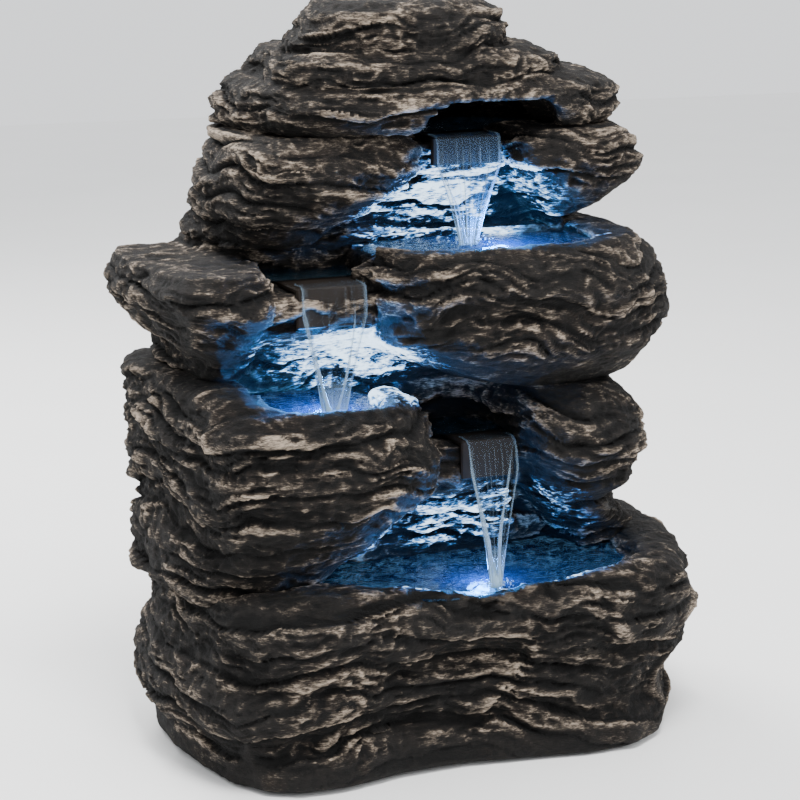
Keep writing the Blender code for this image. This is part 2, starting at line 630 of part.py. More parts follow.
def make_dial(finish, right):
    profile = [(0, GAP), (6, GAP), (6, 2.2), (5.2, 2.8), (0, 2.8)]
    dial = turned("flow_dial", profile, (right, DIAL_Y, DIAL_Z), "X", 20, finish)
    grip = box("grip", (right + 2, DIAL_Y - 1.1, DIAL_Z - 4.6), (right + 5, DIAL_Y + 1.1, DIAL_Z + 4.6), 0.4, 1)
    combine(dial, [grip], "UNION")
    pivot(dial, (right, DIAL_Y, DIAL_Z))


def make_hose(materials):
    low = PUMP_TOP + 3.3
    profile = [(HOSE_INNER, low), (HOSE_OUTER, low), (HOSE_OUTER, HOSE_TOP), (HOSE_INNER, HOSE_TOP)]
    turned("riser_hose", profile, (HOSE_X, HOSE_Y, 0), segments=20, finish=materials["hose"])
    spout = [
        (3.2, -14), (4.6, -14), (4.7, -10), (4.4, -9), (4.7, -5), (4.4, -4), (4.6, GAP), (11, GAP), (12, 3), (8, 5),
        (7, 9), (3.2, 9),
    ]
    turned("header_spout", spout, (HOSE_X, HOSE_Y, HOSE_TOP), finish=materials["pump"])


# ---------------------------------------------------------------- lamps and leads


def make_lamps(materials):
    """Each lamp is a sealed puck: a cup, a board with one LED, and a domed lens."""
    rim, lens = 7.2, 6.9
    for place, (x, y, floor) in LAMPS.items():
        cup = [(0, GAP), (LAMP_RADIUS, GAP), (LAMP_RADIUS, 6.6), (rim, 6.6), (rim, 2), (0, 2)]
        turned(f"lamp_housing_{place}", cup, (x, y, floor), finish=materials["lamp"])
        board = [(0, 2.3), (rim - 0.4, 2.3), (rim - 0.4, 3.3), (2, 3.3), (2, 4.1), (0, 4.1)]
        turned(f"lamp_board_{place}", board, (x, y, floor), segments=16, finish=materials["board"])
        dome = [(0, 4.6), (lens, 4.6), (lens, 6), (5.2, 6.9), (2.8, 7.3), (0, 7.5)]
        turned(f"lamp_lens_{place}", dome, (x, y, floor), finish=materials["lens"])


def make_leads(materials):
    """The joiner in the chamber, and the lead that runs to it from each lamp and from the pump."""
    half = 8
    box(
        "lead_joiner", (JOINER_X - half, JOINER_Y - half, JOINER_BOTTOM), (JOINER_X + half, JOINER_Y + half, JOINER_TOP),
        2, 2, materials["lamp"],
    )
    above, below = JOINER_TOP + GAP, JOINER_BOTTOM - GAP
    left_port, right_port = JOINER_X - 4, JOINER_X + 4
    sheath = materials["lead"]
    lead("lamp_lead_upper", [
        (23.6, -32.5, 250.8), (11, -24, 251), (2, -10, 251), (2, -1, 251), (2, 11, 251), (2, 19, 250), (1, 30, 240), (0, 38, 220),
        (0.5, 41, 185), (right_port, JOINER_Y, 162), (right_port, JOINER_Y, above),
    ], sheath)
    lead("lamp_lead_middle", [
        (-66.4, -47.4, 177.6), (-61, -34, 178), (-58, -18, 178), (-58, -8, 178), (-58, 6, 178), (-58, 15, 178), (-50, 27, 177),
        (-30, 38, 174), (-12, 41, 169), (left_port, JOINER_Y, 160), (left_port, JOINER_Y, above),
    ], sheath)
    lead("lamp_lead_lower", [
        (6.5, -61.2, 83.6), (3, -52, 83.6), (0, -36, 82), (-3, -14, 80), (-6, 8, 84), (-4, 26, 96), (0, 38, 108),
        (right_port, JOINER_Y, 119), (right_port, JOINER_Y, below),
    ], sheath)
    lead("pump_lead", [
        (HOSE_X - 14, PUMP_BACK - 8, PUMP_TOP + GAP), (HOSE_X - 14, PUMP_BACK - 8, 62), (2, 50, 78), (-5, 46, 98),
        (-7, 42, 114), (left_port, JOINER_Y, below),
    ], sheath)
    seal = [(LEAD_RADIUS + 0.4, 0), (SEAL_RADIUS, 0), (SEAL_RADIUS, 10), (LEAD_RADIUS + 0.4, 10)]
    turned("lead_seal_upper", seal, (2, 0, 251), "Y", 16, materials["rubber"])
    turned("lead_seal_middle", seal, (-58, -6, 178), "Y", 16, materials["rubber"])


# ---------------------------------------------------------------- the whole


def shade(obj):
    if obj.type == "MESH":
        obj.data.shade_smooth()
        obj.data.set_sharp_from_angle(angle=math.radians(35))


def main():
    clear_scene()
    materials = make_materials()
    make_rocks(materials["rock"])
    make_lips(materials["lip"])
    make_door(materials)
    make_drain(materials)
    make_gland(materials["rubber"])
    make_feet(materials["rubber"])
    make_pump(materials)
    make_hose(materials)
    make_lamps(materials)
    make_leads(materials)
    for obj in bpy.data.objects:
        shade(obj)


main()
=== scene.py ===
"""Looks of the tabletop rock fountain: layered cast-resin rock, running water, pool lamps and the pump."""

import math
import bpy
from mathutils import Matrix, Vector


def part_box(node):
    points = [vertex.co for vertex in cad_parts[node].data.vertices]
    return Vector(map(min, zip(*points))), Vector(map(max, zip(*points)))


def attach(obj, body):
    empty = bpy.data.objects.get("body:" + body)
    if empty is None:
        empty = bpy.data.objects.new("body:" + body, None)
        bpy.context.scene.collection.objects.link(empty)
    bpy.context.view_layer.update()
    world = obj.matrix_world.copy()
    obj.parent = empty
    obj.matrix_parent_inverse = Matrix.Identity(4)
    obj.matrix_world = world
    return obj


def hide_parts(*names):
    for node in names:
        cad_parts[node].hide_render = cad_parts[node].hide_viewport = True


bl_info = {
    "name": "Rock Fountain",
    "version": (1, 0, 0),
    "blender": (4, 5, 0),
    "location": "View3D > Sidebar > Fountain",
    "description": "Builds the rock, water, lamps and fittings of a tabletop fountain round its CAD frame",
    "category": "Object",
}

import bmesh
import bpy
import numpy as np
from bpy.props import FloatProperty, FloatVectorProperty, IntProperty
from mathutils import Vector

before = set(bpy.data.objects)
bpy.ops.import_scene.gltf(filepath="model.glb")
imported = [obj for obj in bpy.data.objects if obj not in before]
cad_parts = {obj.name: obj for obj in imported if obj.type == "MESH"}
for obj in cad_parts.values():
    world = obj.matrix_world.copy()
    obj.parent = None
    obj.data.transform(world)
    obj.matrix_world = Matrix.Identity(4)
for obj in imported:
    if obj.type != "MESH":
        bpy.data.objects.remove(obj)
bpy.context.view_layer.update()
MM = 0.001
BODY = "fountain"
# The places of a colour Mix node's two inputs and its output.
COLOUR_A, COLOUR_B, COLOUR_OUT = 6, 7, 2


# ---------------------------------------------------------------- colours and nodes


def srgb(code):
    """An sRGB hex colour as the linear colour that Blender's sockets take."""
    parts = [int(code[i : i + 2], 16) / 255 for i in (1, 3, 5)]
    return tuple(c / 12.92 if c <= 0.04045 else ((c + 0.055) / 1.055) ** 2.4 for c in parts)


def add(tree, kind, sockets=None, **settings):
    """Adds a node to the tree. Each socket, by name or place, gets a value or the output that feeds it."""
    node = tree.nodes.new(kind)
    for key, value in settings.items():
        setattr(node, key, value)
    for key, value in (sockets or {}).items():
        if isinstance(value, bpy.types.NodeSocket):
            tree.links.new(value, node.inputs[key])
        else:
            node.inputs[key].default_value = value
    return node


def ramp_stops(node, stops):
    """Sets a colour ramp's stops, each a place and a linear colour."""
    elements = node.color_ramp.elements
    while len(elements) > len(stops):
        elements.remove(elements[-1])
    while len(elements) < len(stops):
        elements.new(1.0)
    for element, (place, colour) in zip(elements, stops):
        element.position = place
        element.color = (*colour, 1.0)
    return node


def new_material(name):
    """A material that uses nodes, its node tree and its Principled shader."""
    made = bpy.data.materials.new(name)
    made.use_nodes = True
    return made, made.node_tree, made.node_tree.nodes["Principled BSDF"]


def per(size):
    """The scale that makes a pattern's features this many millimetres across."""
    return 1 / (size * MM)


def weighted_sum(tree, start, parts):
    """The start plus each output times its weight."""
    total = start
    for output, weight in parts:
        node = add(tree, "ShaderNodeMath", {0: output, 1: weight, 2: total}, operation="MULTIPLY_ADD")
        total = node.outputs[0]
    return total


# ---------------------------------------------------------------- settings


class FountainRock(bpy.types.PropertyGroup):
    """Settings of the cast rock and its paint"""

    voxel: FloatProperty(
        name="Facet", description="Width of the facets that carry the relief", default=1.3 * MM, unit="LENGTH"
    )
    stratum: FloatProperty(
        name="Stratum", description="Thickness of the rock's main layers", default=13.0 * MM, unit="LENGTH"
    )
    relief: FloatProperty(
        name="Relief", description="How far the main layers stand out", default=5.6 * MM, unit="LENGTH"
    )
    stain: FloatVectorProperty(
        name="Stain", description="The dark stain in the hollows", subtype="COLOR", default=srgb("#0b0a09")
    )
    body: FloatVectorProperty(
        name="Body", description="The resin's brown body colour", subtype="COLOR", default=srgb("#272320")
    )
    warm: FloatVectorProperty(
        name="Warm patches", description="Rust-brown patches", subtype="COLOR", default=srgb("#3a2f26")
    )
    brush: FloatVectorProperty(
        name="Dry brush", description="The pale paint dragged over the ridges", subtype="COLOR",
        default=srgb("#e2cdb6"),
    )
    glow: FloatProperty(name="Glow", description="How bright lamplight is on wet crests", default=3.2)


class FountainWater(bpy.types.PropertyGroup):
    """Settings of the pools and streams"""

    ripple: FloatProperty(
        name="Ripple", description="Height of the rings at a stream's foot", default=0.7 * MM, unit="LENGTH"
    )
    droplets: IntProperty(name="Droplets", description="Droplets thrown up round a stream's foot", default=46)
    tint: FloatVectorProperty(
        name="Tint", description="The colour of froth in lamplight", subtype="COLOR", default=srgb("#9cc8ea")
    )


class FountainLamps(bpy.types.PropertyGroup):
    """Settings of the three pool lamps"""

    power: FloatProperty(name="Power", description="Light of one pool lamp, in watts", default=0.9)
    colour: FloatVectorProperty(
        name="Colour", description="The lamps' cool blue-white", subtype="COLOR", default=srgb("#3f9cff")
    )


class FountainStage(bpy.types.PropertyGroup):
    """Settings of the camera and the soft lights"""

    azimuth: FloatProperty(
        name="View from", description="The camera's turn to the left of the front", default=math.radians(23),
        subtype="ANGLE",
    )
    distance: FloatProperty(
        name="Distance", description="From the camera to the fountain's axis", default=1.27, unit="LENGTH"
    )
    height: FloatProperty(name="Height", description="The camera's height", default=0.449, unit="LENGTH")
    lens: FloatProperty(name="Lens", description="Focal length in millimetres", default=116.5)
    key: FloatProperty(name="Key light", description="Power of the soft key light, in watts", default=30.0)


# ---------------------------------------------------------------- noise


def lattice(cell, seed):
    """A steady random value from 0 to 1 for each whole-numbered cell."""
    x, y, z = (cell[:, k].astype(np.int64) for k in range(3))
    mixed = (x * 374761393 + y * 668265263 + z * 1442695041 + seed * 974634777) & 0xFFFFFFFF
    mixed = ((mixed ^ (mixed >> 13)) * 1274126177) & 0xFFFFFFFF
    mixed = (mixed ^ (mixed >> 16)) & 0xFFFFFF
    return mixed / float(0xFFFFFF)


def noise(points, seed):
    """Smooth value noise from 0 to 1."""
    cell = np.floor(points)
    part = points - cell
    part = part * part * (3 - 2 * part)
    total = np.zeros(len(points))
    for dx in (0, 1):
        for dy in (0, 1):
            for dz in (0, 1):
                weight = (
                    (part[:, 0] if dx else 1 - part[:, 0])
                    * (part[:, 1] if dy else 1 - part[:, 1])
                    * (part[:, 2] if dz else 1 - part[:, 2])
                )
                total += weight * lattice(cell + (dx, dy, dz), seed)
    return total


def fractal(points, octaves, seed):
    """Noise summed over octaves, centred on 0. The odd shift and scale keep their cells out of line."""
    total, weight, scale = np.zeros(len(points)), 1.0, 1.0
    for octave in range(octaves):
        total += weight * (noise(points * scale + 17.3 * octave, seed + octave) - 0.5)
        weight *= 0.5
        scale *= 2.03
    return total


# ---------------------------------------------------------------- meshes


def wear(obj, finish):
    """Gives the object this one finish."""
    obj.data.materials.clear()
    obj.data.materials.append(finish)


def link(name, mesh, finish=None):
    """A new object in the scene that shows the mesh."""
    obj = bpy.data.objects.new(name, mesh)
    bpy.context.scene.collection.objects.link(obj)
    if finish:
        wear(obj, finish)
    return obj


def settled(obj):
    """Applies the object's modifiers to its mesh."""
    bpy.context.view_layer.update()
    evaluated = obj.evaluated_get(bpy.context.evaluated_depsgraph_get())
    mesh = bpy.data.meshes.new_from_object(evaluated)
    obj.modifiers.clear()
    obj.data = mesh
    return obj


def cad_copy(node, name):
    """A copy of a CAD node's mesh with its loose triangles joined."""
    bm = bmesh.new()
    bm.from_mesh(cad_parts[node].data)
    bmesh.ops.remove_doubles(bm, verts=bm.verts, dist=1e-6)
    mesh = bpy.data.meshes.new(name)
    bm.to_mesh(mesh)
    bm.free()
    return link(name, mesh)


def positions(mesh, which="co"):
    """The vertices' places, or their normals, one row each."""
    values = np.empty(len(mesh.vertices) * 3)
    mesh.vertices.foreach_get(which, values)
    return values.reshape(-1, 3)


def edge_pairs(mesh):
    """The two vertices of each edge, one row each."""
    pairs = np.empty(len(mesh.edges) * 2, dtype=np.int64)
    mesh.edges.foreach_get("vertices", pairs)
    return pairs.reshape(-1, 2)


def smoothed(values, pairs, rounds):
    """Values averaged over each vertex's neighbours, round after round."""
    count = len(values)
    ends = np.concatenate([pairs[:, 0], pairs[:, 1]])
    others = np.concatenate([pairs[:, 1], pairs[:, 0]])
    degree = np.maximum(np.bincount(ends, minlength=count), 1)
    flat = values.reshape(count, -1)
    for _ in range(rounds):
        columns = [np.bincount(ends, weights=flat[others, k], minlength=count) for k in range(flat.shape[1])]
        flat = 0.4 * flat + 0.6 * np.stack(columns, axis=1) / degree[:, None]
    return flat.reshape(values.shape)


def attribute(mesh, name, values):
    """Stores one value for each vertex, for a material to read."""
    made = mesh.attributes.new(name, "FLOAT", "POINT")
    made.data.foreach_set("value", np.asarray(values, dtype=np.float32))


def step(values, low, high):
    """A smooth step from 0 at low to 1 at high."""
    t = np.clip((values - low) / (high - low), 0, 1)
    return t * t * (3 - 2 * t)


# ---------------------------------------------------------------- rock


def layers(points, thickness, seed):
    """The rock's layers of one thickness: how far each point's layer stands out, from 0 to 1, and a roll that
    is 1 in the middle of a layer and falls to 0 at the crevice between two. A layer's edge wanders over a few
    thicknesses and is chipped over about one. The level's odd factors give each layer its own pattern."""
    height = points[:, 2] / thickness
    level = np.floor(height)
    within = height - level
    wander, chip = 3.4 * thickness, 1.1 * thickness
    across = np.column_stack([points[:, 0] / wander, points[:, 1] / wander, level * 7.31])
    chips = np.column_stack([points[:, 0] / chip, points[:, 1] / chip, level * 3.17])
    stand = step(noise(across, seed), 0.2, 0.8) + 0.35 * (noise(chips, seed + 1) - 0.5)
    roll = 1 - np.abs(2 * within - 1) ** 3.5
    return stand, roll


def streaky(points, along, up, seed):
    """Sharp-crested ridges, from 0 to 1, that run along the layers."""
    return (1 - np.abs(2 * noise(points * (1 / along, 1 / along, 1 / up), seed) - 1)) ** 1.6


# Streaks along the rock's walls and chips on its tops: height, length and thickness, in millimetres.
WALL_STREAKS = ((1.6, 15, 4.2), (1.5, 8, 2.7), (0.9, 4.4, 2.1))
TOP_CHIPS = ((1.5, 12, 12), (1.2, 5, 5))


def relief_of(points, normals, settings, seed):
    """The rock's relief in millimetres at points in millimetres: positive stands out. Each part of it has
    about its own mean taken off, so that the rock keeps its size."""
    stratum, depth = settings.stratum / MM, settings.relief / MM
    # The layers dip to one side and wander by up to 20 mm, and the thinner ones waver more.
    bent = points.copy()
    sway = 20 * fractal(points / 75, 2, seed) + 10 * fractal(points / 27, 2, seed + 5)
    bent[:, 2] += sway + 0.05 * points[:, 0]
    stand, roll = layers(bent, stratum, seed + 11)
    bent[:, 2] += 2.4 * fractal(points / 12, 2, seed + 23)
    thin_stand, thin_roll = layers(bent, stratum * 0.42, seed + 31)
    leaf_stand, _ = layers(bent, stratum * 0.19, seed + 37)
    chips = bent + 2.2 * np.column_stack([fractal(points / 7, 2, seed + k) for k in (61, 67, 71)])
    # The layers are bold in some places and worn nearly smooth in others.
    bold = 0.25 + 1.25 * step(noise(points / (34, 34, 22), seed + 73), 0.25, 0.75)
    crisp = 0.2 + 1.3 * step(noise(points / (20, 20, 12), seed + 79), 0.3, 0.8)
    wall = (
        depth * (stand - 0.62) + 0.5 * depth * bold * (roll - 0.75)
        + crisp * (0.36 * depth * (thin_stand - 0.5) + 0.13 * depth * (thin_roll - 0.75))
        + 0.14 * depth * crisp * (leaf_stand - 0.5)
    )
    for order, (height, along, up) in enumerate(WALL_STREAKS):
        wall = wall + height * (streaky(chips, along, up, seed + 41 + 2 * order) - 0.4)
    wall = wall + 3.2 * fractal(points / (32, 32, 17), 3, seed + 47)
    top = 2.6 * fractal(points / (18, 10, 10), 3, seed + 53)
    for order, (height, along, up) in enumerate(TOP_CHIPS):
        top = top + height * (streaky(chips, along, up, seed + 59 + 2 * order) - 0.45)
    facing = step(np.abs(normals[:, 2]), 0.6, 0.95)
    return wall * (1 - facing) + top * facing


def calm(points, low, high, fade):
    """0 inside the box between two corners, rising to 1 over the fade outside it, all in millimetres."""
    outside = np.maximum(np.maximum(np.array(low) - points, points - np.array(high)), 0)
    return step(np.linalg.norm(outside, axis=1), 0, fade)


# Boxes in each rock, in millimetres, where the casting is smooth: inside its chambers and round its fittings.
SMOOTH_BOXES = {
    "base_basin": [(-118, -66, 12, 112, 82, 74), (-96, -32, 60, 96, 82, 99), (-84, 70, 14, -54, 100, 38)],
    "lower_tier": [(-104, 14, 80, 100, 79, 190), (-26, 60, 104, 77, 100, 176), (-48, 70, 100, -26, 100, 124)],
    "middle_tier": [(-90, 20, 180, 90, 78, 246), (-10, 22, 240, 57, 74, 262)],
    "upper_tier": [(-44, 16, 284, 80, 70, 316), (12, 28, 250, 34, 50, 290)],
    "cap_rock": [(-46, -4, 308, 80, 68, 326)],
    "rear_door": [(-30, 80, 100, 80, 93, 180)],
}
# Each rock's facets against the setting: larger on the large rocks, to hold their triangles down.
VOXEL_SHARE = {
    "base_basin": 1.16, "lower_tier": 1.12, "middle_tier": 1.06, "upper_tier": 0.88, "cap_rock": 0.82,
    "rear_door": 0.6,
}
MOST_TRIANGLES = 190000
LEAST_RELIEF = 0.06  # the share of the relief that the smooth boxes keep, as no casting is quite flat
FADE = 4.0  # millimetres over which the relief comes back outside a smooth box


def sculpt(node, name, settings, seed):
    """The node's casting with rounded edges, layered relief, and the attributes that its paint follows."""
    piece = cad_copy(node, name)
    remesh = piece.modifiers.new("remesh", "REMESH")
    remesh.mode = "VOXEL"
    remesh.voxel_size = settings.voxel * VOXEL_SHARE[node] * 1.0
    settled(piece)
    mesh = piece.data
    pairs = edge_pairs(mesh)
    rounding = 3 if node == "rear_door" else 9  # rounds of smoothing that wear the casting's edges off
    soft = smoothed(positions(mesh) / MM, pairs, rounding)
    mesh.vertices.foreach_set("co", (soft * MM).ravel())
    mesh.update()
    normals = smoothed(positions(mesh, "normal"), pairs, 6)
    normals /= np.maximum(np.linalg.norm(normals, axis=1, keepdims=True), 1e-6)
    height = relief_of(soft, normals, settings, seed)
    room = np.ones(len(soft))
    for box in SMOOTH_BOXES[node]:
        room = np.minimum(room, calm(soft, box[:3], box[3:], FADE))
    if node == "base_basin":
        # The relief dies away in the skirt, and the edge that stands on the table is flat.
        low = float(soft[:, 2].min())
        room *= 0.25 + 0.75 * step(soft[:, 2], low + 9, low + 17)
        room *= step(soft[:, 2], low + 0.6, low + 2.5)
    room = np.maximum(room, LEAST_RELIEF)
    height *= room
    push = normals * (1.0, 1.0, 0.6)  # tops and undersides keep closer to the casting than walls
    mesh.vertices.foreach_set("co", ((soft + push * height[:, None]) * MM).ravel())
    mesh.update()
    # The brush catches fine and broad crests. Faces that look up get more brush, partly as painted top light,
    # and the upper rocks more than the lower get painted top light: they look paler, as if lit from above.
    raised = height - smoothed(height, pairs, 12)
    broad = height - smoothed(height, pairs, 90)
    brush_and_painted_top_light = 0.09 * step(normals[:, 2], 0.25, 0.9) + 0.17 * step(soft[:, 2], 190, 345)
    attribute(mesh, "ridge_and_top_light", np.clip(0.48 + 0.36 * raised + 0.14 * broad + brush_and_painted_top_light, 0, 1.1))
    # The lit attribute marks where the rock glows with painted lamplight.
    attribute(mesh, "lit", lamplight(soft, normals))
    attribute(mesh, "wet", wetness(soft))
    faces = sum(len(polygon.vertices) - 2 for polygon in mesh.polygons)
    if faces > MOST_TRIANGLES:
        thinning = piece.modifiers.new("thinning", "DECIMATE")
        thinning.ratio = MOST_TRIANGLES / faces
        settled(piece)
    piece.data.shade_smooth()
    return piece


# Where the rock is wet: the middle of each recess and pool and its reach, in millimetres.
WET_SPOTS = [((22, -14, 262), (74, 46, 34)), ((-62, -40, 196), (66, 50, 40)), ((14, -50, 104), (90, 52, 48))]


def wetness(points):
    """How wet the rock is at each point, from 0 to 1."""
    wet = np.zeros(len(points))
    for middle, reach in WET_SPOTS:
        away = np.linalg.norm((points - middle) / reach, axis=1)
        wet = np.maximum(wet, 1 - step(away + 0.25 * fractal(points / 18, 2, 3), 0.65, 1.05))
    return wet


# Painted lamplight on the rock, an emitted glow: its middle over each pool and its reach, in millimetres, and
# its strength.
LAMP_SPOTS = [
    ((18, -20, 270), (84, 46, 38), 1.0),
    ((-42, -38, 204), (78, 60, 42), 1.0),
    ((18, -52, 106), (92, 62, 38), 0.72),
]


def lamplight(points, normals):
    """How much painted lamplight each point's face gets, from 0 to 1, spreading from the middle of each
    recess.
    """
    light = np.zeros(len(points))
    for middle, reach, strength in LAMP_SPOTS:
        away = (np.array(middle) - points) / reach
        distance = np.linalg.norm(away, axis=1)
        towards = np.sum(away * normals, axis=1) / np.maximum(distance, 0.05)
        spread = 1 - step(distance + 0.3 * fractal(points / 20, 2, 5), 0.2, 1.0)
        light = np.maximum(light, strength * spread * step(towards, -0.2, 0.6))
    return light


def resin_rock_paint(settings):
    """Cast polyresin, stained nearly black in its hollows and dry-brushed with tan on its ridges. It looks
    like slate: matt, with streaks along its layers, and glossy where water keeps it wet. Near the lamps it
    carries painted lamplight as an emitted glow, and on its faces that look up and its upper rocks the brush
    carries painted top light."""
    made, tree, shader = new_material("dry_brushed_resin_rock")
    place = add(tree, "ShaderNodeTexCoord").outputs["Object"]
    streak = (per(10.5263), per(10.5263), per(2.325581))  # 10.5 mm along the layers and 2.3 mm up
    along = add(tree, "ShaderNodeMapping", {"Vector": place, "Scale": streak}).outputs[0]
    sockets = ("Vector", "Scale", "Detail", "Roughness", "Distortion")
    textures = (  # along the layers, the scale divides the streak's size
        (along, 1.2, 8.0, 0.72, 0.5),
        (along, 4.0, 5.0, 0.75, 0.0),
        (along, 2.4, 5.0, 0.65, 1.2),
        (place, per(3.333333), 8.0, 0.75, 0.0),
        (place, per(45.45455), 4.0, 0.5, 0.8),
        (place, per(0.9090909), 2.0, 0.5, 0.0),
    )
    streaks, broken, fibres, bark, patches, grit = (
        add(tree, "ShaderNodeTexNoise", dict(zip(sockets, values))).outputs["Fac"] for values in textures
    )
    ridge_and_top_light, wet, lit = (
        add(tree, "ShaderNodeAttribute", attribute_name=name).outputs["Fac"]
        for name in ("ridge_and_top_light", "wet", "lit")
    )

    # The body: brown resin with rust patches, stained dark wherever the brush did not reach. The stain is
    # also thinner on faces that look up and on the upper rocks, as painted top light.
    warm = add(tree, "ShaderNodeMapRange", {"Value": patches, "From Min": 0.46, "From Max": 0.66})
    body = add(tree, "ShaderNodeMix", {
        "Factor": warm.outputs[0], COLOUR_A: (*settings.body, 1), COLOUR_B: (*settings.warm, 1),
    }, data_type="RGBA")
    worn = weighted_sum(tree, ridge_and_top_light, ((broken, 1.0), (bark, 1.2)))
    depth = add(tree, "ShaderNodeMapRange", {"Value": worn, "From Min": 1.36, "From Max": 2.0})
    stained = add(tree, "ShaderNodeMix", {
        "Factor": depth.outputs[0], COLOUR_A: (*settings.stain, 1), COLOUR_B: body.outputs[COLOUR_OUT],
    }, data_type="RGBA")

    # The dry brush: tan paint that catches the crests, broken up by the streaks and by where the brush
    # passed. On faces that look up and on the upper rocks it also lays painted top light. It is thinner where
    # the rock is wet.
    brush_and_top_light = weighted_sum(tree, ridge_and_top_light, ((streaks, 1.1), (broken, 1.5), (fibres, 1.2), (patches, 1.5)))
    brushed = add(tree, "ShaderNodeMapRange", {"Value": brush_and_top_light, "From Min": 3.42, "From Max": 4.5})
    thin = weighted_sum(tree, 1.0, ((wet, -0.6),))
    brushed = add(tree, "ShaderNodeMath", {0: brushed.outputs[0], 1: thin}, operation="MULTIPLY")
    under = tuple(0.2 * c for c in settings.brush)
    coat = add(tree, "ShaderNodeValToRGB", {"Fac": brushed.outputs[0]})
    ramp_stops(coat, [(0.25, under), (0.7, tuple(settings.brush))])
    cover = add(tree, "ShaderNodeMapRange", {"Value": brushed.outputs[0], "From Max": 0.3})
    painted = add(tree, "ShaderNodeMix", {
        "Factor": cover.outputs[0], COLOUR_A: stained.outputs[COLOUR_OUT], COLOUR_B: coat.outputs["Color"],
    }, data_type="RGBA")
    tree.links.new(painted.outputs[COLOUR_OUT], shader.inputs["Base Color"])

    # Painted lamplight, emitted by the rock itself: near white on the crests, deep blue on their flanks, none
    # in hollows.
    crest = weighted_sum(tree, 0.0, ((ridge_and_top_light, 1.2), (streaks, 1.0), (fibres, 3.4), (lit, 1.35)))
    crest = add(tree, "ShaderNodeMapRange", {"Value": crest, "From Min": 3.3, "From Max": 4.05})
    edge = add(tree, "ShaderNodeMapRange", {"Value": lit, "From Min": 0.03, "From Max": 0.22})
    glow = add(tree, "ShaderNodeMath", {0: crest.outputs[0], 1: edge.outputs[0]}, operation="MULTIPLY")
    hue = ramp_stops(add(tree, "ShaderNodeValToRGB", {"Fac": glow.outputs[0]}), [
        (0.0, srgb("#0b3f8c")), (0.35, srgb("#2f8ee6")), (0.8, srgb("#c9e5ff")),
    ])
    tree.links.new(hue.outputs["Color"], shader.inputs["Emission Color"])
    power = add(tree, "ShaderNodeMath", {0: glow.outputs[0], 1: settings.glow}, operation="MULTIPLY")
    tree.links.new(power.outputs[0], shader.inputs["Emission Strength"])

    # Wet rock is glossier, and all of it has the finest chips and grit as bump.
    gloss = add(tree, "ShaderNodeMapRange", {"Value": wet, "To Min": 0.8, "To Max": 0.3})
    tree.links.new(gloss.outputs[0], shader.inputs["Roughness"])
    rough = weighted_sum(tree, streaks, ((grit, 0.3), (broken, 0.8), (bark, 0.8), (fibres, 1.3)))
    bump = add(tree, "ShaderNodeBump", {"Height": rough, "Strength": 1.0, "Distance": 3.8 * MM})
    tree.links.new(bump.outputs[0], shader.inputs["Normal"])
    shader.inputs["Specular IOR Level"].default_value = 0.22
    return made


# The piece that each CAD node becomes, in the order that their seeds follow.
ROCKS = {
    "base_basin": "basin_rock", "lower_tier": "lower_rock", "middle_tier": "middle_rock",
    "upper_tier": "upper_rock", "cap_rock": "cap_rock_cast", "rear_door": "door_rock",
}


class FOUNTAIN_OT_rocks(bpy.types.Operator):
    """Sculpts the stacked rocks and the rear door from their castings"""

    bl_idname = "fountain.rocks"
    bl_label = "Rocks"

    def execute(self, context):
        settings = context.scene.fountain_rock
        paint = resin_rock_paint(settings)
        bodies = {"cap_rock": "cap", "rear_door": "door"}
        for order, (node, name) in enumerate(ROCKS.items()):
            piece = sculpt(node, name, settings, seed=100 + 13 * order)
            wear(piece, paint)
            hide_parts(node)
            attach(piece, bodies.get(node, BODY))
        return {"FINISHED"}


# ---------------------------------------------------------------- water


def still_water(name, glints, tint_with_painted_light):
    """Clean water in a pool. Its low roughness gives a mirror at a low angle, and it is clear from above. Its
    tint carries painted lamplight in the pools and painted shade in the troughs, and its glints are painted
    highlights.
    """
    made, tree, shader = new_material(name)
    place = add(tree, "ShaderNodeTexCoord").outputs["Object"]
    swell = add(tree, "ShaderNodeTexNoise", {"Vector": place, "Scale": per(3.846154), "Detail": 2.0})
    bump = add(tree, "ShaderNodeBump", {"Height": swell.outputs[0], "Strength": 0.5, "Distance": 0.8 * MM})
    tree.links.new(bump.outputs[0], shader.inputs["Normal"])
    # Painted glints: ripple crests, 14 mm wide and 8 mm apart, glow as thin bright lines, painted highlights
    # of the lamplight.
    ripple = (per(14.28571), per(7.692308), per(14.28571))
    drawn = add(tree, "ShaderNodeMapping", {"Vector": place, "Scale": ripple}).outputs[0]
    crest = add(tree, "ShaderNodeTexNoise", {"Vector": drawn, "Scale": 1.0, "Detail": 3.0, "Distortion": 1.4})
    crest = add(tree, "ShaderNodeMath", {0: crest.outputs["Fac"], 1: 2.0}, operation="MULTIPLY")
    crest = add(tree, "ShaderNodeMath", {0: crest.outputs[0], 1: 1.0}, operation="PINGPONG")
    glint = add(tree, "ShaderNodeMath", {0: crest.outputs[0], 1: 34.0}, operation="POWER")
    glint = add(tree, "ShaderNodeMath", {0: glint.outputs[0], 1: glints}, operation="MULTIPLY")
    tree.links.new(glint.outputs[0], shader.inputs["Emission Strength"])
    shader.inputs["Emission Color"].default_value = (*srgb("#7fc4ff"), 1)
    facing = add(tree, "ShaderNodeLayerWeight", {"Blend": 0.25, "Normal": bump.outputs[0]}).outputs["Fresnel"]
    cover = add(tree, "ShaderNodeMapRange", {"Value": facing, "To Min": 0.3, "To Max": 0.8})
    tree.links.new(cover.outputs[0], shader.inputs["Alpha"])
    shader.inputs["Base Color"].default_value = (*srgb(tint_with_painted_light), 1)
    shader.inputs["Roughness"].default_value = 0.04
    shader.inputs["IOR"].default_value = 1.33
    return made


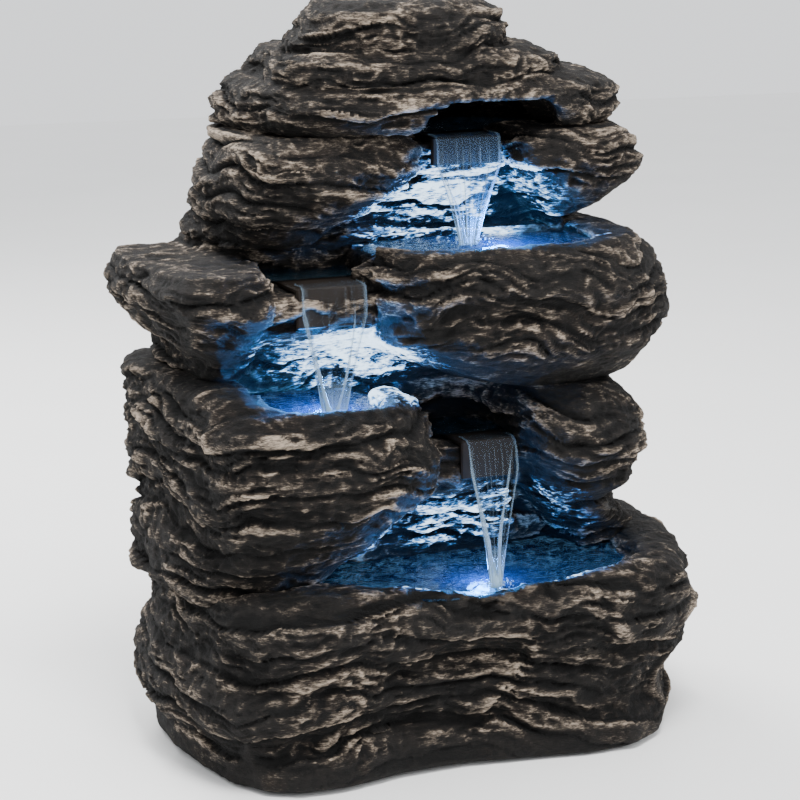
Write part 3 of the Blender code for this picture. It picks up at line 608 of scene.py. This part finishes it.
def falling_water(settings):
    """A thin falling sheet. It is nearly clear, so that the lit rock shows through, and turns white where it
    folds and froths. Its froth also glows blue-white as painted lamplight."""
    made, tree, shader = new_material("falling_water")
    froth = add(tree, "ShaderNodeAttribute", attribute_name="froth").outputs["Fac"]
    facing = add(tree, "ShaderNodeLayerWeight", {"Blend": 0.35})
    edge = add(tree, "ShaderNodeMath", {0: facing.outputs["Facing"], 1: 0.03}, operation="MULTIPLY")
    cover = add(tree, "ShaderNodeMath", {0: froth, 1: edge.outputs[0]}, operation="ADD", use_clamp=True)
    cover = add(tree, "ShaderNodeMapRange", {"Value": cover.outputs[0], "To Min": 0.0, "To Max": 0.9})
    tree.links.new(cover.outputs[0], shader.inputs["Alpha"])
    # Painted lamplight: the froth glows in the tint, as if the pool lamps lit it.
    glow = add(tree, "ShaderNodeMath", {0: froth, 1: 2.0}, operation="POWER")
    glow = add(tree, "ShaderNodeMath", {0: glow.outputs[0], 1: 0.55}, operation="MULTIPLY")
    tree.links.new(glow.outputs[0], shader.inputs["Emission Strength"])
    shader.inputs["Emission Color"].default_value = (*settings.tint, 1)
    shader.inputs["Base Color"].default_value = (*srgb("#6b7f90"), 1)
    shader.inputs["Specular IOR Level"].default_value = 0.3
    shader.inputs["Roughness"].default_value = 0.12
    shader.inputs["IOR"].default_value = 1.33
    return made


def grid_mesh(name, rows):
    """A mesh over a grid of points given row by row."""
    bm = bmesh.new()
    made = [[bm.verts.new(point) for point in row] for row in rows]
    for low, high in zip(made, made[1:]):
        for i in range(len(low) - 1):
            bm.faces.new((low[i], low[i + 1], high[i + 1], high[i]))
    mesh = bpy.data.meshes.new(name)
    bm.to_mesh(mesh)
    bm.free()
    return mesh


WATER_FACET = 1.4  # the width of a pool surface's facets, in millimetres
CORNER_CUT = 0.42  # how far a rounded pool's corners are drawn in
RIPPLE_TURN, RIPPLE_REACH = 0.95, 24  # radians for each millimetre, and where a ripple has mostly died away


def pool_surface(name, left, right, front, back, level, foot, rounded, ripple):
    """A pool's rippled surface. Its edge runs just inside the rock that holds it."""
    across, deep = int((right - left) / WATER_FACET), int((back - front) / WATER_FACET)
    rows = []
    for j in range(deep + 1):
        w = 2 * j / deep - 1
        row = []
        for i in range(across + 1):
            u = 2 * i / across - 1
            x, y = u, w
            if rounded:
                x, y = u * math.sqrt(1 - CORNER_CUT * w * w), w * math.sqrt(1 - CORNER_CUT * u * u)
            x = (left + right) / 2 + x * (right - left) / 2
            y = (front + back) / 2 + y * (back - front) / 2
            row.append((x, y, level))
        rows.append(row)
    mesh = grid_mesh(name, rows)
    place = positions(mesh)
    if foot:
        away = np.hypot(place[:, 0] - foot[0], place[:, 1] - foot[1])
        place[:, 2] += ripple / MM * np.cos(away * RIPPLE_TURN) * np.exp(-away / RIPPLE_REACH)
    place[:, 2] += 0.5 * fractal(np.column_stack([place[:, 0] / 9, place[:, 1] / 6, place[:, 2] * 0]), 3, 9)
    mesh.vertices.foreach_set("co", (place * MM).ravel())
    mesh.update()
    piece = link(name, mesh)
    body = piece.modifiers.new("body", "SOLIDIFY")
    body.thickness = 0.8 * MM
    body.offset = -1
    settled(piece)
    piece.data.shade_smooth()
    return piece


class Stream:
    """A stream from a spill lip to the pool below, in millimetres. Its widths are at the lip and the foot.
    Clear says how white the plain sheet is, and streaks how white its folds are."""

    OFF_LIP = 1.3  # how far the sheet hangs in front of the lip
    ON_LIP = 0.9  # the depth of the water that runs over the lip
    HELD = 14  # the drop over which the sheet keeps its full width

    def __init__(self, name, lip, foot, widths, clear, streaks):
        low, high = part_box(lip)
        self.name = name
        self.low, self.high = low / MM, high / MM
        self.foot = foot
        self.widths = widths
        self.held = self.HELD / (self.high[2] - foot[2])
        self.clear = clear
        self.streaks = streaks

    def middle(self, t):
        """The middle of the sheet at t, from 0 on the lip to 1 at its foot."""
        top = ((self.low[0] + self.high[0]) / 2, self.low[1] - self.OFF_LIP, self.high[2] + self.ON_LIP)
        drop = top[2] - self.foot[2]
        x = top[0] + (self.foot[0] - top[0]) * t**0.8
        y = top[1] + (self.foot[1] - top[1]) * math.sqrt(t)
        return x, y, top[2] - drop * t

    def half_width(self, t):
        """Half the sheet's width at t. It narrows quickest where it leaves the lip."""
        wide, narrow = self.widths
        drawn = min(1.0, max(0.0, t - self.held) / (1 - self.held))
        return 0.5 * (wide + (narrow - wide) * (1.35 * drawn - 0.35 * drawn * drawn))


def sheet_piece(stream, finish):
    """The thin sheet: it starts flat on the lip, bends over its edge, and folds as it narrows."""
    across, down, run_up = 150, 56, 8  # facets over the width, down the fall and back over the lip
    rows, froth = [], []
    for j in range(-run_up, down + 1):
        t = max(0.0, j / down)
        x, y, z = stream.middle(t)
        if j < 0:
            y -= j
        half = stream.half_width(t)
        row = []
        for i in range(across + 1):
            u = 2 * i / across - 1
            fold = math.sin(15 * u + 2.1 * math.sin(7 * u + t)) + 0.6 * math.sin(29 * u + 3 * t)
            sag = 0.28 * fold * min(1.0, 3 * t + 0.2)
            row.append((x + u * half, y - sag + 0.6 * u * u, z + (0.25 * fold if j < 0 else 0)))
            # Froth: fine threads along the folds, the sheet's two rims, and the last part above the pool.
            thread = math.sin(37 * u + 2.4 * math.sin(6 * u + t)) + 0.7 * math.sin(61 * u + 4 * t + fold)
            streak = max(0.0, thread / 1.7) ** 2 * (0.3 + 0.7 * t) * stream.streaks * (0.55 + 0.3 * fold)
            rim = abs(u) ** 20 * (0.25 + 0.4 * t)
            foot = 0.8 * max(0.0, t - 0.7) / 0.3
            froth.append(min(1.0, stream.clear + streak + rim + foot))
        rows.append(row)
    mesh = grid_mesh(stream.name, rows)
    place = positions(mesh)
    mesh.vertices.foreach_set("co", (place * MM).ravel())
    attribute(mesh, "froth", froth)
    piece = link(stream.name, mesh, finish)
    body = piece.modifiers.new("body", "SOLIDIFY")
    body.thickness = 0.7 * MM
    body.offset = 0
    settled(piece)
    piece.data.shade_smooth()
    return piece


def strand_piece(name, points, radii, froth, finish):
    """A rope of water: a tube with a wavering radius along a smooth path, in millimetres."""
    steps, sides = 12, 10  # rings between two points of the path, and sides of the tube
    path = [Vector(point) for point in points]
    ends = [2 * path[0] - path[1], *path, 2 * path[-1] - path[-2]]
    line = []
    for a, b, c, d in zip(ends, ends[1:], ends[2:], ends[3:]):
        square, cube = 2 * a - 5 * b + 4 * c - d, 3 * b - a - 3 * c + d
        for k in range(steps):
            t = k / steps
            line.append(0.5 * (2 * b + (c - a) * t + square * t**2 + cube * t**3))
    line.append(ends[-2])
    bm = bmesh.new()
    rings, values = [], []
    for k, point in enumerate(line):
        t = k / (len(line) - 1)
        radius = radii[0] + (radii[1] - radii[0]) * t
        radius *= 1 + 0.22 * math.sin(19 * t + 2) + 0.14 * math.sin(47 * t)
        forward = (line[min(k + 1, len(line) - 1)] - line[max(k - 1, 0)]).normalized()
        side = forward.cross(Vector((0, 1, 0))).normalized()
        up = side.cross(forward)
        ring = []
        for s in range(sides):
            turn = 2 * math.pi * s / sides
            place = point + radius * (math.cos(turn) * side + 0.7 * math.sin(turn) * up)
            ring.append(bm.verts.new(place * MM))
            values.append(froth[0] + (froth[1] - froth[0]) * t)
        rings.append(ring)
    for low, high in zip(rings, rings[1:]):
        for s in range(sides):
            bm.faces.new((low[s], low[(s + 1) % sides], high[(s + 1) % sides], high[s]))
    bm.faces.new(rings[0])
    bm.faces.new(rings[-1])
    bmesh.ops.recalc_face_normals(bm, faces=bm.faces)
    mesh = bpy.data.meshes.new(name)
    bm.to_mesh(mesh)
    bm.free()
    attribute(mesh, "froth", values)
    piece = link(name, mesh, finish)
    piece.data.shade_smooth()
    return piece


SPRAY_SHARE = 0.5  # the share of a patch's points that get a droplet
GOLDEN_ANGLE = 2.39996  # the turn from one point to the next, in radians, which spreads them evenly


def spray_tree(finish):
    """Droplets over a patch of points: a random share of them, each lifted by its own amount and given a
    round drop of its own size."""
    tree = bpy.data.node_groups.new("spray", "GeometryNodeTree")
    face = tree.interface
    face.new_socket("Patch", in_out="INPUT", socket_type="NodeSocketGeometry")
    for name in ("Drop", "Rise"):
        face.new_socket(name, in_out="INPUT", socket_type="NodeSocketFloat")
    face.new_socket("Spray", in_out="OUTPUT", socket_type="NodeSocketGeometry")
    given = add(tree, "NodeGroupInput").outputs
    patch = add(tree, "GeometryNodeMeshToPoints", {"Mesh": given["Patch"]})
    sample = add(tree, "FunctionNodeRandomValue", {"Seed": 4}, data_type="BOOLEAN")
    sample.inputs["Probability"].default_value = SPRAY_SHARE
    # Sockets 2 and 3 of a random number are its least and its most.
    size = add(tree, "FunctionNodeRandomValue", {2: 0.35, 3: 1.0, "Seed": 7}, data_type="FLOAT")
    scale = add(tree, "ShaderNodeMath", {0: size.outputs[1], 1: given["Drop"]}, operation="MULTIPLY")
    lift = add(tree, "FunctionNodeRandomValue", {2: 0.0, 3: 1.0, "Seed": 11}, data_type="FLOAT")
    high = add(tree, "ShaderNodeMath", {0: lift.outputs[1], 1: given["Rise"]}, operation="MULTIPLY")
    offset = add(tree, "ShaderNodeCombineXYZ", {"Z": high.outputs[0]})
    raised = add(tree, "GeometryNodeSetPosition", {"Geometry": patch.outputs[0], "Offset": offset.outputs[0]})
    drop = add(tree, "GeometryNodeMeshIcoSphere", {"Radius": 1.0, "Subdivisions": 2})
    every = add(tree, "GeometryNodeInstanceOnPoints", {
        "Points": raised.outputs[0], "Instance": drop.outputs["Mesh"], "Scale": scale.outputs[0],
        "Selection": sample.outputs[3],
    })
    solid = add(tree, "GeometryNodeRealizeInstances", {0: every.outputs[0]})
    painted = add(tree, "GeometryNodeSetMaterial", {"Geometry": solid.outputs[0], "Material": finish})
    add(tree, "NodeGroupOutput", {"Spray": painted.outputs[0]})
    return tree


def spray_piece(name, foot, reach, count, drop, rise, tree, finish):
    """Droplets thrown up round a stream's foot. The drop's largest radius and its rise are in millimetres."""
    mesh = bpy.data.meshes.new(name)
    bm = bmesh.new()
    for k in range(count):
        turn = GOLDEN_ANGLE * k
        away = reach * math.sqrt((k + 0.5) / count)
        x, y = foot[0] + away * math.cos(turn), foot[1] + 0.7 * away * math.sin(turn)
        bm.verts.new((x * MM, y * MM, foot[2] * MM))
    bm.to_mesh(mesh)
    bm.free()
    piece = link(name, mesh)
    spray = piece.modifiers.new("spray", "NODES")
    spray.node_group = tree
    sockets = {item.name: item.identifier for item in tree.interface.items_tree if item.in_out == "INPUT"}
    spray[sockets["Drop"]] = drop * MM
    spray[sockets["Rise"]] = rise * MM
    settled(piece)
    attribute(piece.data, "froth", np.full(len(piece.data.vertices), 0.75))
    wear(piece, finish)
    piece.data.shade_smooth()
    return piece


# In millimetres: name, left, right, front, back, level, foot of its stream, and whether it is rounded.
POOL_SURFACES = [
    ("header_water", -44, 82, 15, 70, 308.9, None, True),
    ("upper_pool_water", -38, 90, -60, 12, 255.2, (17, -25), True),
    ("upper_trough_water", -98, -36, -27.2, 4, 244.9, None, False),
    ("middle_pool_water", -108, -36, -78, 4, 182.8, (-72, -60), True),
    ("lower_trough_water", -29, 33, -31.2, 2, 161.9, None, False),
    ("lower_pool_water", -80, 108, -86, 40, 91.6, (8, -73), True),
]

# Ropes of water, in millimetres: name, radius and froth at both ends, and path from the lip to the foot.
STRANDS = [
    ("top_strand_left", (0.2, 0.55), (0.0, 0.6),
     [(6, -8, 306), (6.5, -10, 293), (12, -20, 274), (15, -25, 256)]),
    ("top_strand_right", (0.2, 0.55), (0.0, 0.6),
     [(40, -8, 306), (39, -10, 293), (27, -20, 274), (20, -25, 256)]),
    ("middle_strand_left", (0.35, 1.2), (0.05, 0.9),
     [(-83, -51, 240), (-82, -56, 226), (-79, -63, 204), (-75, -67, 184)]),
    ("middle_strand_right", (0.2, 0.9), (0.0, 0.8),
     [(-56, -51, 236), (-58, -56, 224), (-65, -63, 202), (-72, -67, 184)]),
    ("lower_strand_left", (0.3, 1.7), (0.05, 1.0),
     [(6, -49, 158), (6, -54, 144), (8, -66, 116), (10, -74, 92)]),
    ("lower_strand_right", (0.25, 1.2), (0.05, 0.9),
     [(30, -49, 158), (25, -55, 142), (15, -67, 116), (11.5, -74, 92)]),
]

# Name, lip, foot, widths, clear and streaks of each stream, and how far its spray reaches.
STREAMS = [
    ("top_stream", "spill_lip_top", (17, -24, 255), (35, 10), 0.04, 1.0, 13),
    ("middle_stream", "spill_lip_middle", (-72, -66, 182.5), (33, 12), 0.0, 0.25, 15),
    ("lower_stream", "spill_lip_lower", (10, -74, 91.5), (26, 6), 0.0, 0.5, 9),
]
LARGEST_DROP, SPRAY_RISE = 0.7, 4.0  # a droplet's largest radius and how high the spray goes, in millimetres


class FOUNTAIN_OT_water(bpy.types.Operator):
    """Fills the pools, and runs the water over the lips and down to the pools below"""

    bl_idname = "fountain.water"
    bl_label = "Water"

    def execute(self, context):
        settings = context.scene.fountain_water
        # Two copies of the water: in the pools with painted glints and a painted lit blue tint, in the
        # troughs with a painted shaded dark tint.
        lit = still_water("lamplit_pool_water", 0.4, "#0b2440")
        dark = still_water("shaded_trough_water", 0.02, "#0a161c")
        falling = falling_water(settings)
        pieces = []
        for name, left, right, front, back, level, foot, rounded in POOL_SURFACES:
            surface = pool_surface(name, left, right, front, back, level, foot, rounded, settings.ripple)
            wear(surface, lit if foot else dark)
            pieces.append(surface)
        for *stream, _ in STREAMS:
            pieces.append(sheet_piece(Stream(*stream), falling))
        for name, radii, froth, points in STRANDS:
            pieces.append(strand_piece(name, points, radii, froth, falling))
        tree = spray_tree(falling)
        count = round(settings.droplets / SPRAY_SHARE)
        for name, _, foot, *_, reach in STREAMS:
            name = name.replace("stream", "spray")
            pieces.append(spray_piece(name, foot, reach, count, LARGEST_DROP, SPRAY_RISE, tree, falling))
        for piece in pieces:
            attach(piece, BODY)
        return {"FINISHED"}


# ---------------------------------------------------------------- lamps


def lamp_lens_finish(settings):
    """Clear polycarbonate over a lit diode. It glows cool blue-white, slightly uneven like a frosted lens."""
    made, tree, shader = new_material("lit_lamp_lens")
    place = add(tree, "ShaderNodeTexCoord").outputs["Object"]
    frost = add(tree, "ShaderNodeTexNoise", {"Vector": place, "Scale": per(1.428571)})
    glow = add(tree, "ShaderNodeMapRange", {"Value": frost.outputs["Fac"], "To Min": 3.0, "To Max": 5.0})
    tree.links.new(glow.outputs[0], shader.inputs["Emission Strength"])
    shader.inputs["Emission Color"].default_value = (*settings.colour, 1)
    shader.inputs["Base Color"].default_value = (*srgb("#dfeeff"), 1)
    shader.inputs["Roughness"].default_value = 0.1
    shader.inputs["IOR"].default_value = 1.58
    return made


# Each lamp's share of the power, and how far its light sits above the lens in millimetres.
LAMP_LIGHTS = {"upper": (1.0, 12), "middle": (1.1, 10), "lower": (0.7, 12)}
LENS_RADIUS = 9 * MM


class FOUNTAIN_OT_lamps(bpy.types.Operator):
    """Lights the lamp in each pool"""

    bl_idname = "fountain.lamps"
    bl_label = "Lamps"

    def execute(self, context):
        settings = context.scene.fountain_lamps
        lens = lamp_lens_finish(settings)
        for place, (share, rise) in LAMP_LIGHTS.items():
            node = f"lamp_lens_{place}"
            wear(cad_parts[node], lens)
            low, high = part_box(node)
            light = bpy.data.lights.new(f"{place}_pool_lamp", "POINT")
            light.energy = settings.power * share
            light.color = settings.colour
            light.shadow_soft_size = LENS_RADIUS
            obj = bpy.data.objects.new(light.name, light)
            context.scene.collection.objects.link(obj)
            obj.location = ((low[0] + high[0]) / 2, (low[1] + high[1]) / 2, high[2] + rise * MM)
        return {"FINISHED"}


# ---------------------------------------------------------------- fittings


def moulded(name, colour, roughness, grain, depth, ior, specular):
    """A moulded plastic or rubber: an even colour with slight mottling, and the mould's fine texture."""
    made, tree, shader = new_material(name)
    place = add(tree, "ShaderNodeTexCoord").outputs["Object"]
    fine, broad = (
        add(tree, "ShaderNodeTexNoise", {"Vector": place, "Scale": scale, "Detail": detail}).outputs["Fac"]
        for scale, detail in ((per(grain), 3.0), (per(16.66667), 2.0))
    )
    dark = tuple(0.78 * c for c in srgb(colour))
    pale = tuple(min(1.0, 1.15 * c) for c in srgb(colour))
    shade = ramp_stops(add(tree, "ShaderNodeValToRGB", {"Fac": broad}), [(0.3, dark), (0.7, pale)])
    tree.links.new(shade.outputs["Color"], shader.inputs["Base Color"])
    dull = min(1.0, roughness * 1.2)
    gloss = add(tree, "ShaderNodeMapRange", {"Value": broad, "To Min": roughness * 0.8, "To Max": dull})
    tree.links.new(gloss.outputs[0], shader.inputs["Roughness"])
    bump = add(tree, "ShaderNodeBump", {"Height": fine, "Strength": 0.5, "Distance": depth * MM})
    tree.links.new(bump.outputs[0], shader.inputs["Normal"])
    shader.inputs["IOR"].default_value = ior
    shader.inputs["Specular IOR Level"].default_value = specular
    return made


# For each finish: how its nodes' names start, colour, roughness, the texture's grain and depth in
# millimetres, index of refraction, and specular level. A node that two rows name wears the later one.
FITTINGS = {
    # Smooth cast resin: dull brown lips, plainer than the rock, that show through the water.
    "smooth_moulded_resin_lip": (("spill_lip",), "#1c1713", 0.55, 9.0, 0.06, 1.5, 0.1),
    # Black ABS from a textured mould: a satin body with soft, broad highlights.
    "black_abs_moulding": (
        ("pump_housing", "pump_cover", "strainer", "outlet_barb", "header_spout"),
        "#17181a", 0.42, 0.4, 0.05, 1.53, 0.5,
    ),
    # White acetal: a waxy, even off-white with a low shine on the moving parts.
    "white_acetal": (("impeller", "flow_dial"), "#dcdcd6", 0.35, 0.5, 0.03, 1.48, 0.5),
    # Ground alumina: a hard bright shaft with sharp highlights.
    "alumina_ceramic": (("impeller_shaft",), "#efece4", 0.18, 0.3, 0.01, 1.76, 0.5),
    # Open-cell foam: a dark matt block, deeply pitted.
    "open_cell_foam": (("filter_foam",), "#222326", 0.95, 1.1, 0.7, 1.4, 0.2),
    # Black rubber: matt, slightly greyed, with no clear highlight.
    "moulded_black_rubber": (
        ("foot_", "suction_cup", "door_gasket", "drain_", "cord_grommet", "lead_seal"),
        "#141414", 0.68, 0.5, 0.06, 1.52, 0.4,
    ),
    # Potted plastic: smoother and glossier than the pump's ABS, so that the lamps look sealed.
    "potted_lamp_plastic": (("lamp_housing", "lead_joiner"), "#1b1c1f", 0.38, 0.4, 0.04, 1.53, 0.5),
    # White solder mask: a bright, slightly glossy board under each lens.
    "white_solder_mask": (("lamp_board",), "#e4e6df", 0.3, 0.6, 0.03, 1.5, 0.5),
    # Vinyl sheath: black leads with a soft, even shine.
    "vinyl_lead_sheath": (("lamp_lead", "pump_lead"), "#121315", 0.45, 0.5, 0.03, 1.53, 0.5),
    # Vinyl hose: pale grey-green and glossy.
    "clear_vinyl_hose": (("riser_hose",), "#c9d2d2", 0.2, 0.8, 0.04, 1.53, 0.5),
}


class FOUNTAIN_OT_fittings(bpy.types.Operator):
    """Finishes the lips, pump, hose, feet and other fittings"""

    bl_idname = "fountain.fittings"
    bl_label = "Fittings"

    def execute(self, context):
        for name, (starts, *look) in FITTINGS.items():
            finish = moulded(name, *look)
            for node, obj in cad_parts.items():
                if node.startswith(starts):
                    wear(obj, finish)
        return {"FINISHED"}


# ---------------------------------------------------------------- stage


AIM = Vector((-0.0187, -0.0193, 0.178))  # the point that the camera and the lights face
FLOOR_REACH = 3  # metres of floor on each side
SOFTBOXES = {
    # name: (place, width, share of the key's power)
    "key": ((-0.15, -0.75, 1.45), 0.45, 1.0),
    "fill": ((0.9, -1.0, 0.7), 0.8, 0.3),
    "rim": ((-0.3, 1.0, 1.1), 0.7, 0.8),
}


class FOUNTAIN_OT_stage(bpy.types.Operator):
    """Sets the pale floor, the soft lights and the camera"""

    bl_idname = "fountain.stage"
    bl_label = "Stage"

    def execute(self, context):
        settings = context.scene.fountain_stage
        scene = context.scene
        stops = (-FLOOR_REACH, 0, FLOOR_REACH)
        floor_mesh = grid_mesh("floor", [[(x, y, 0) for x in stops] for y in stops])
        # A pale matt floor, slightly mottled, that keeps soft shadows.
        floor, tree, shader = new_material("pale_studio_floor")
        place = add(tree, "ShaderNodeTexCoord").outputs["Object"]
        mottle = add(tree, "ShaderNodeTexNoise", {"Vector": place, "Scale": per(166.6667)})
        shade = add(tree, "ShaderNodeValToRGB", {"Fac": mottle.outputs["Fac"]})
        ramp_stops(shade, [(0.0, srgb("#f1f1f0")), (1.0, srgb("#f8f8f7"))])
        tree.links.new(shade.outputs["Color"], shader.inputs["Base Color"])
        shader.inputs["Roughness"].default_value = 0.6
        link("floor", floor_mesh, floor)

        world = bpy.data.worlds.new("studio")
        world.use_nodes = True
        sky = world.node_tree.nodes["Background"].inputs
        sky["Color"].default_value = (*srgb("#f6f8fb"), 1)
        sky["Strength"].default_value = 1.45
        scene.world = world

        for name, (place, width, share) in SOFTBOXES.items():
            light = bpy.data.lights.new(name, "AREA")
            light.energy = settings.key * share
            light.size = width
            obj = bpy.data.objects.new(name, light)
            scene.collection.objects.link(obj)
            obj.location = place
            obj.rotation_euler = (AIM - Vector(place)).to_track_quat("-Z", "Y").to_euler()

        camera = bpy.data.cameras.new("camera")
        camera.lens = settings.lens
        obj = bpy.data.objects.new("camera", camera)
        scene.collection.objects.link(obj)
        turn, reach = settings.azimuth, settings.distance
        obj.location = (AIM.x - math.sin(turn) * reach, AIM.y - math.cos(turn) * reach, settings.height)
        obj.rotation_euler = (AIM - obj.location).to_track_quat("-Z", "Y").to_euler()
        scene.camera = obj
        return {"FINISHED"}


# ---------------------------------------------------------------- panel


class FOUNTAIN_PT_panel(bpy.types.Panel):
    """Lists the fountain's operators and settings"""

    bl_idname = "FOUNTAIN_PT_panel"
    bl_label = "Rock Fountain"
    bl_space_type = "VIEW_3D"
    bl_region_type = "UI"
    bl_category = "Fountain"

    def draw(self, context):
        layout = self.layout
        for operator in OPERATORS:
            layout.operator(operator.bl_idname)
        for key, group in GROUPS.items():
            settings = getattr(context.scene, key)
            column = layout.column()
            for name in group.__annotations__:
                column.prop(settings, name)


OPERATORS = (FOUNTAIN_OT_stage, FOUNTAIN_OT_rocks, FOUNTAIN_OT_water, FOUNTAIN_OT_lamps, FOUNTAIN_OT_fittings)
GROUPS = {
    "fountain_rock": FountainRock, "fountain_water": FountainWater, "fountain_lamps": FountainLamps,
    "fountain_stage": FountainStage,
}


def register():
    for made in (*GROUPS.values(), *OPERATORS, FOUNTAIN_PT_panel):
        bpy.utils.register_class(made)
    for key, group in GROUPS.items():
        setattr(bpy.types.Scene, key, bpy.props.PointerProperty(type=group))


def unregister():
    for key in GROUPS:
        delattr(bpy.types.Scene, key)
    for made in reversed((*GROUPS.values(), *OPERATORS, FOUNTAIN_PT_panel)):
        bpy.utils.unregister_class(made)


def main():
    register()
    bpy.ops.fountain.stage()
    bpy.ops.fountain.rocks()
    bpy.ops.fountain.water()
    bpy.ops.fountain.lamps()
    bpy.ops.fountain.fittings()


if __name__ == "__main__":
    main()
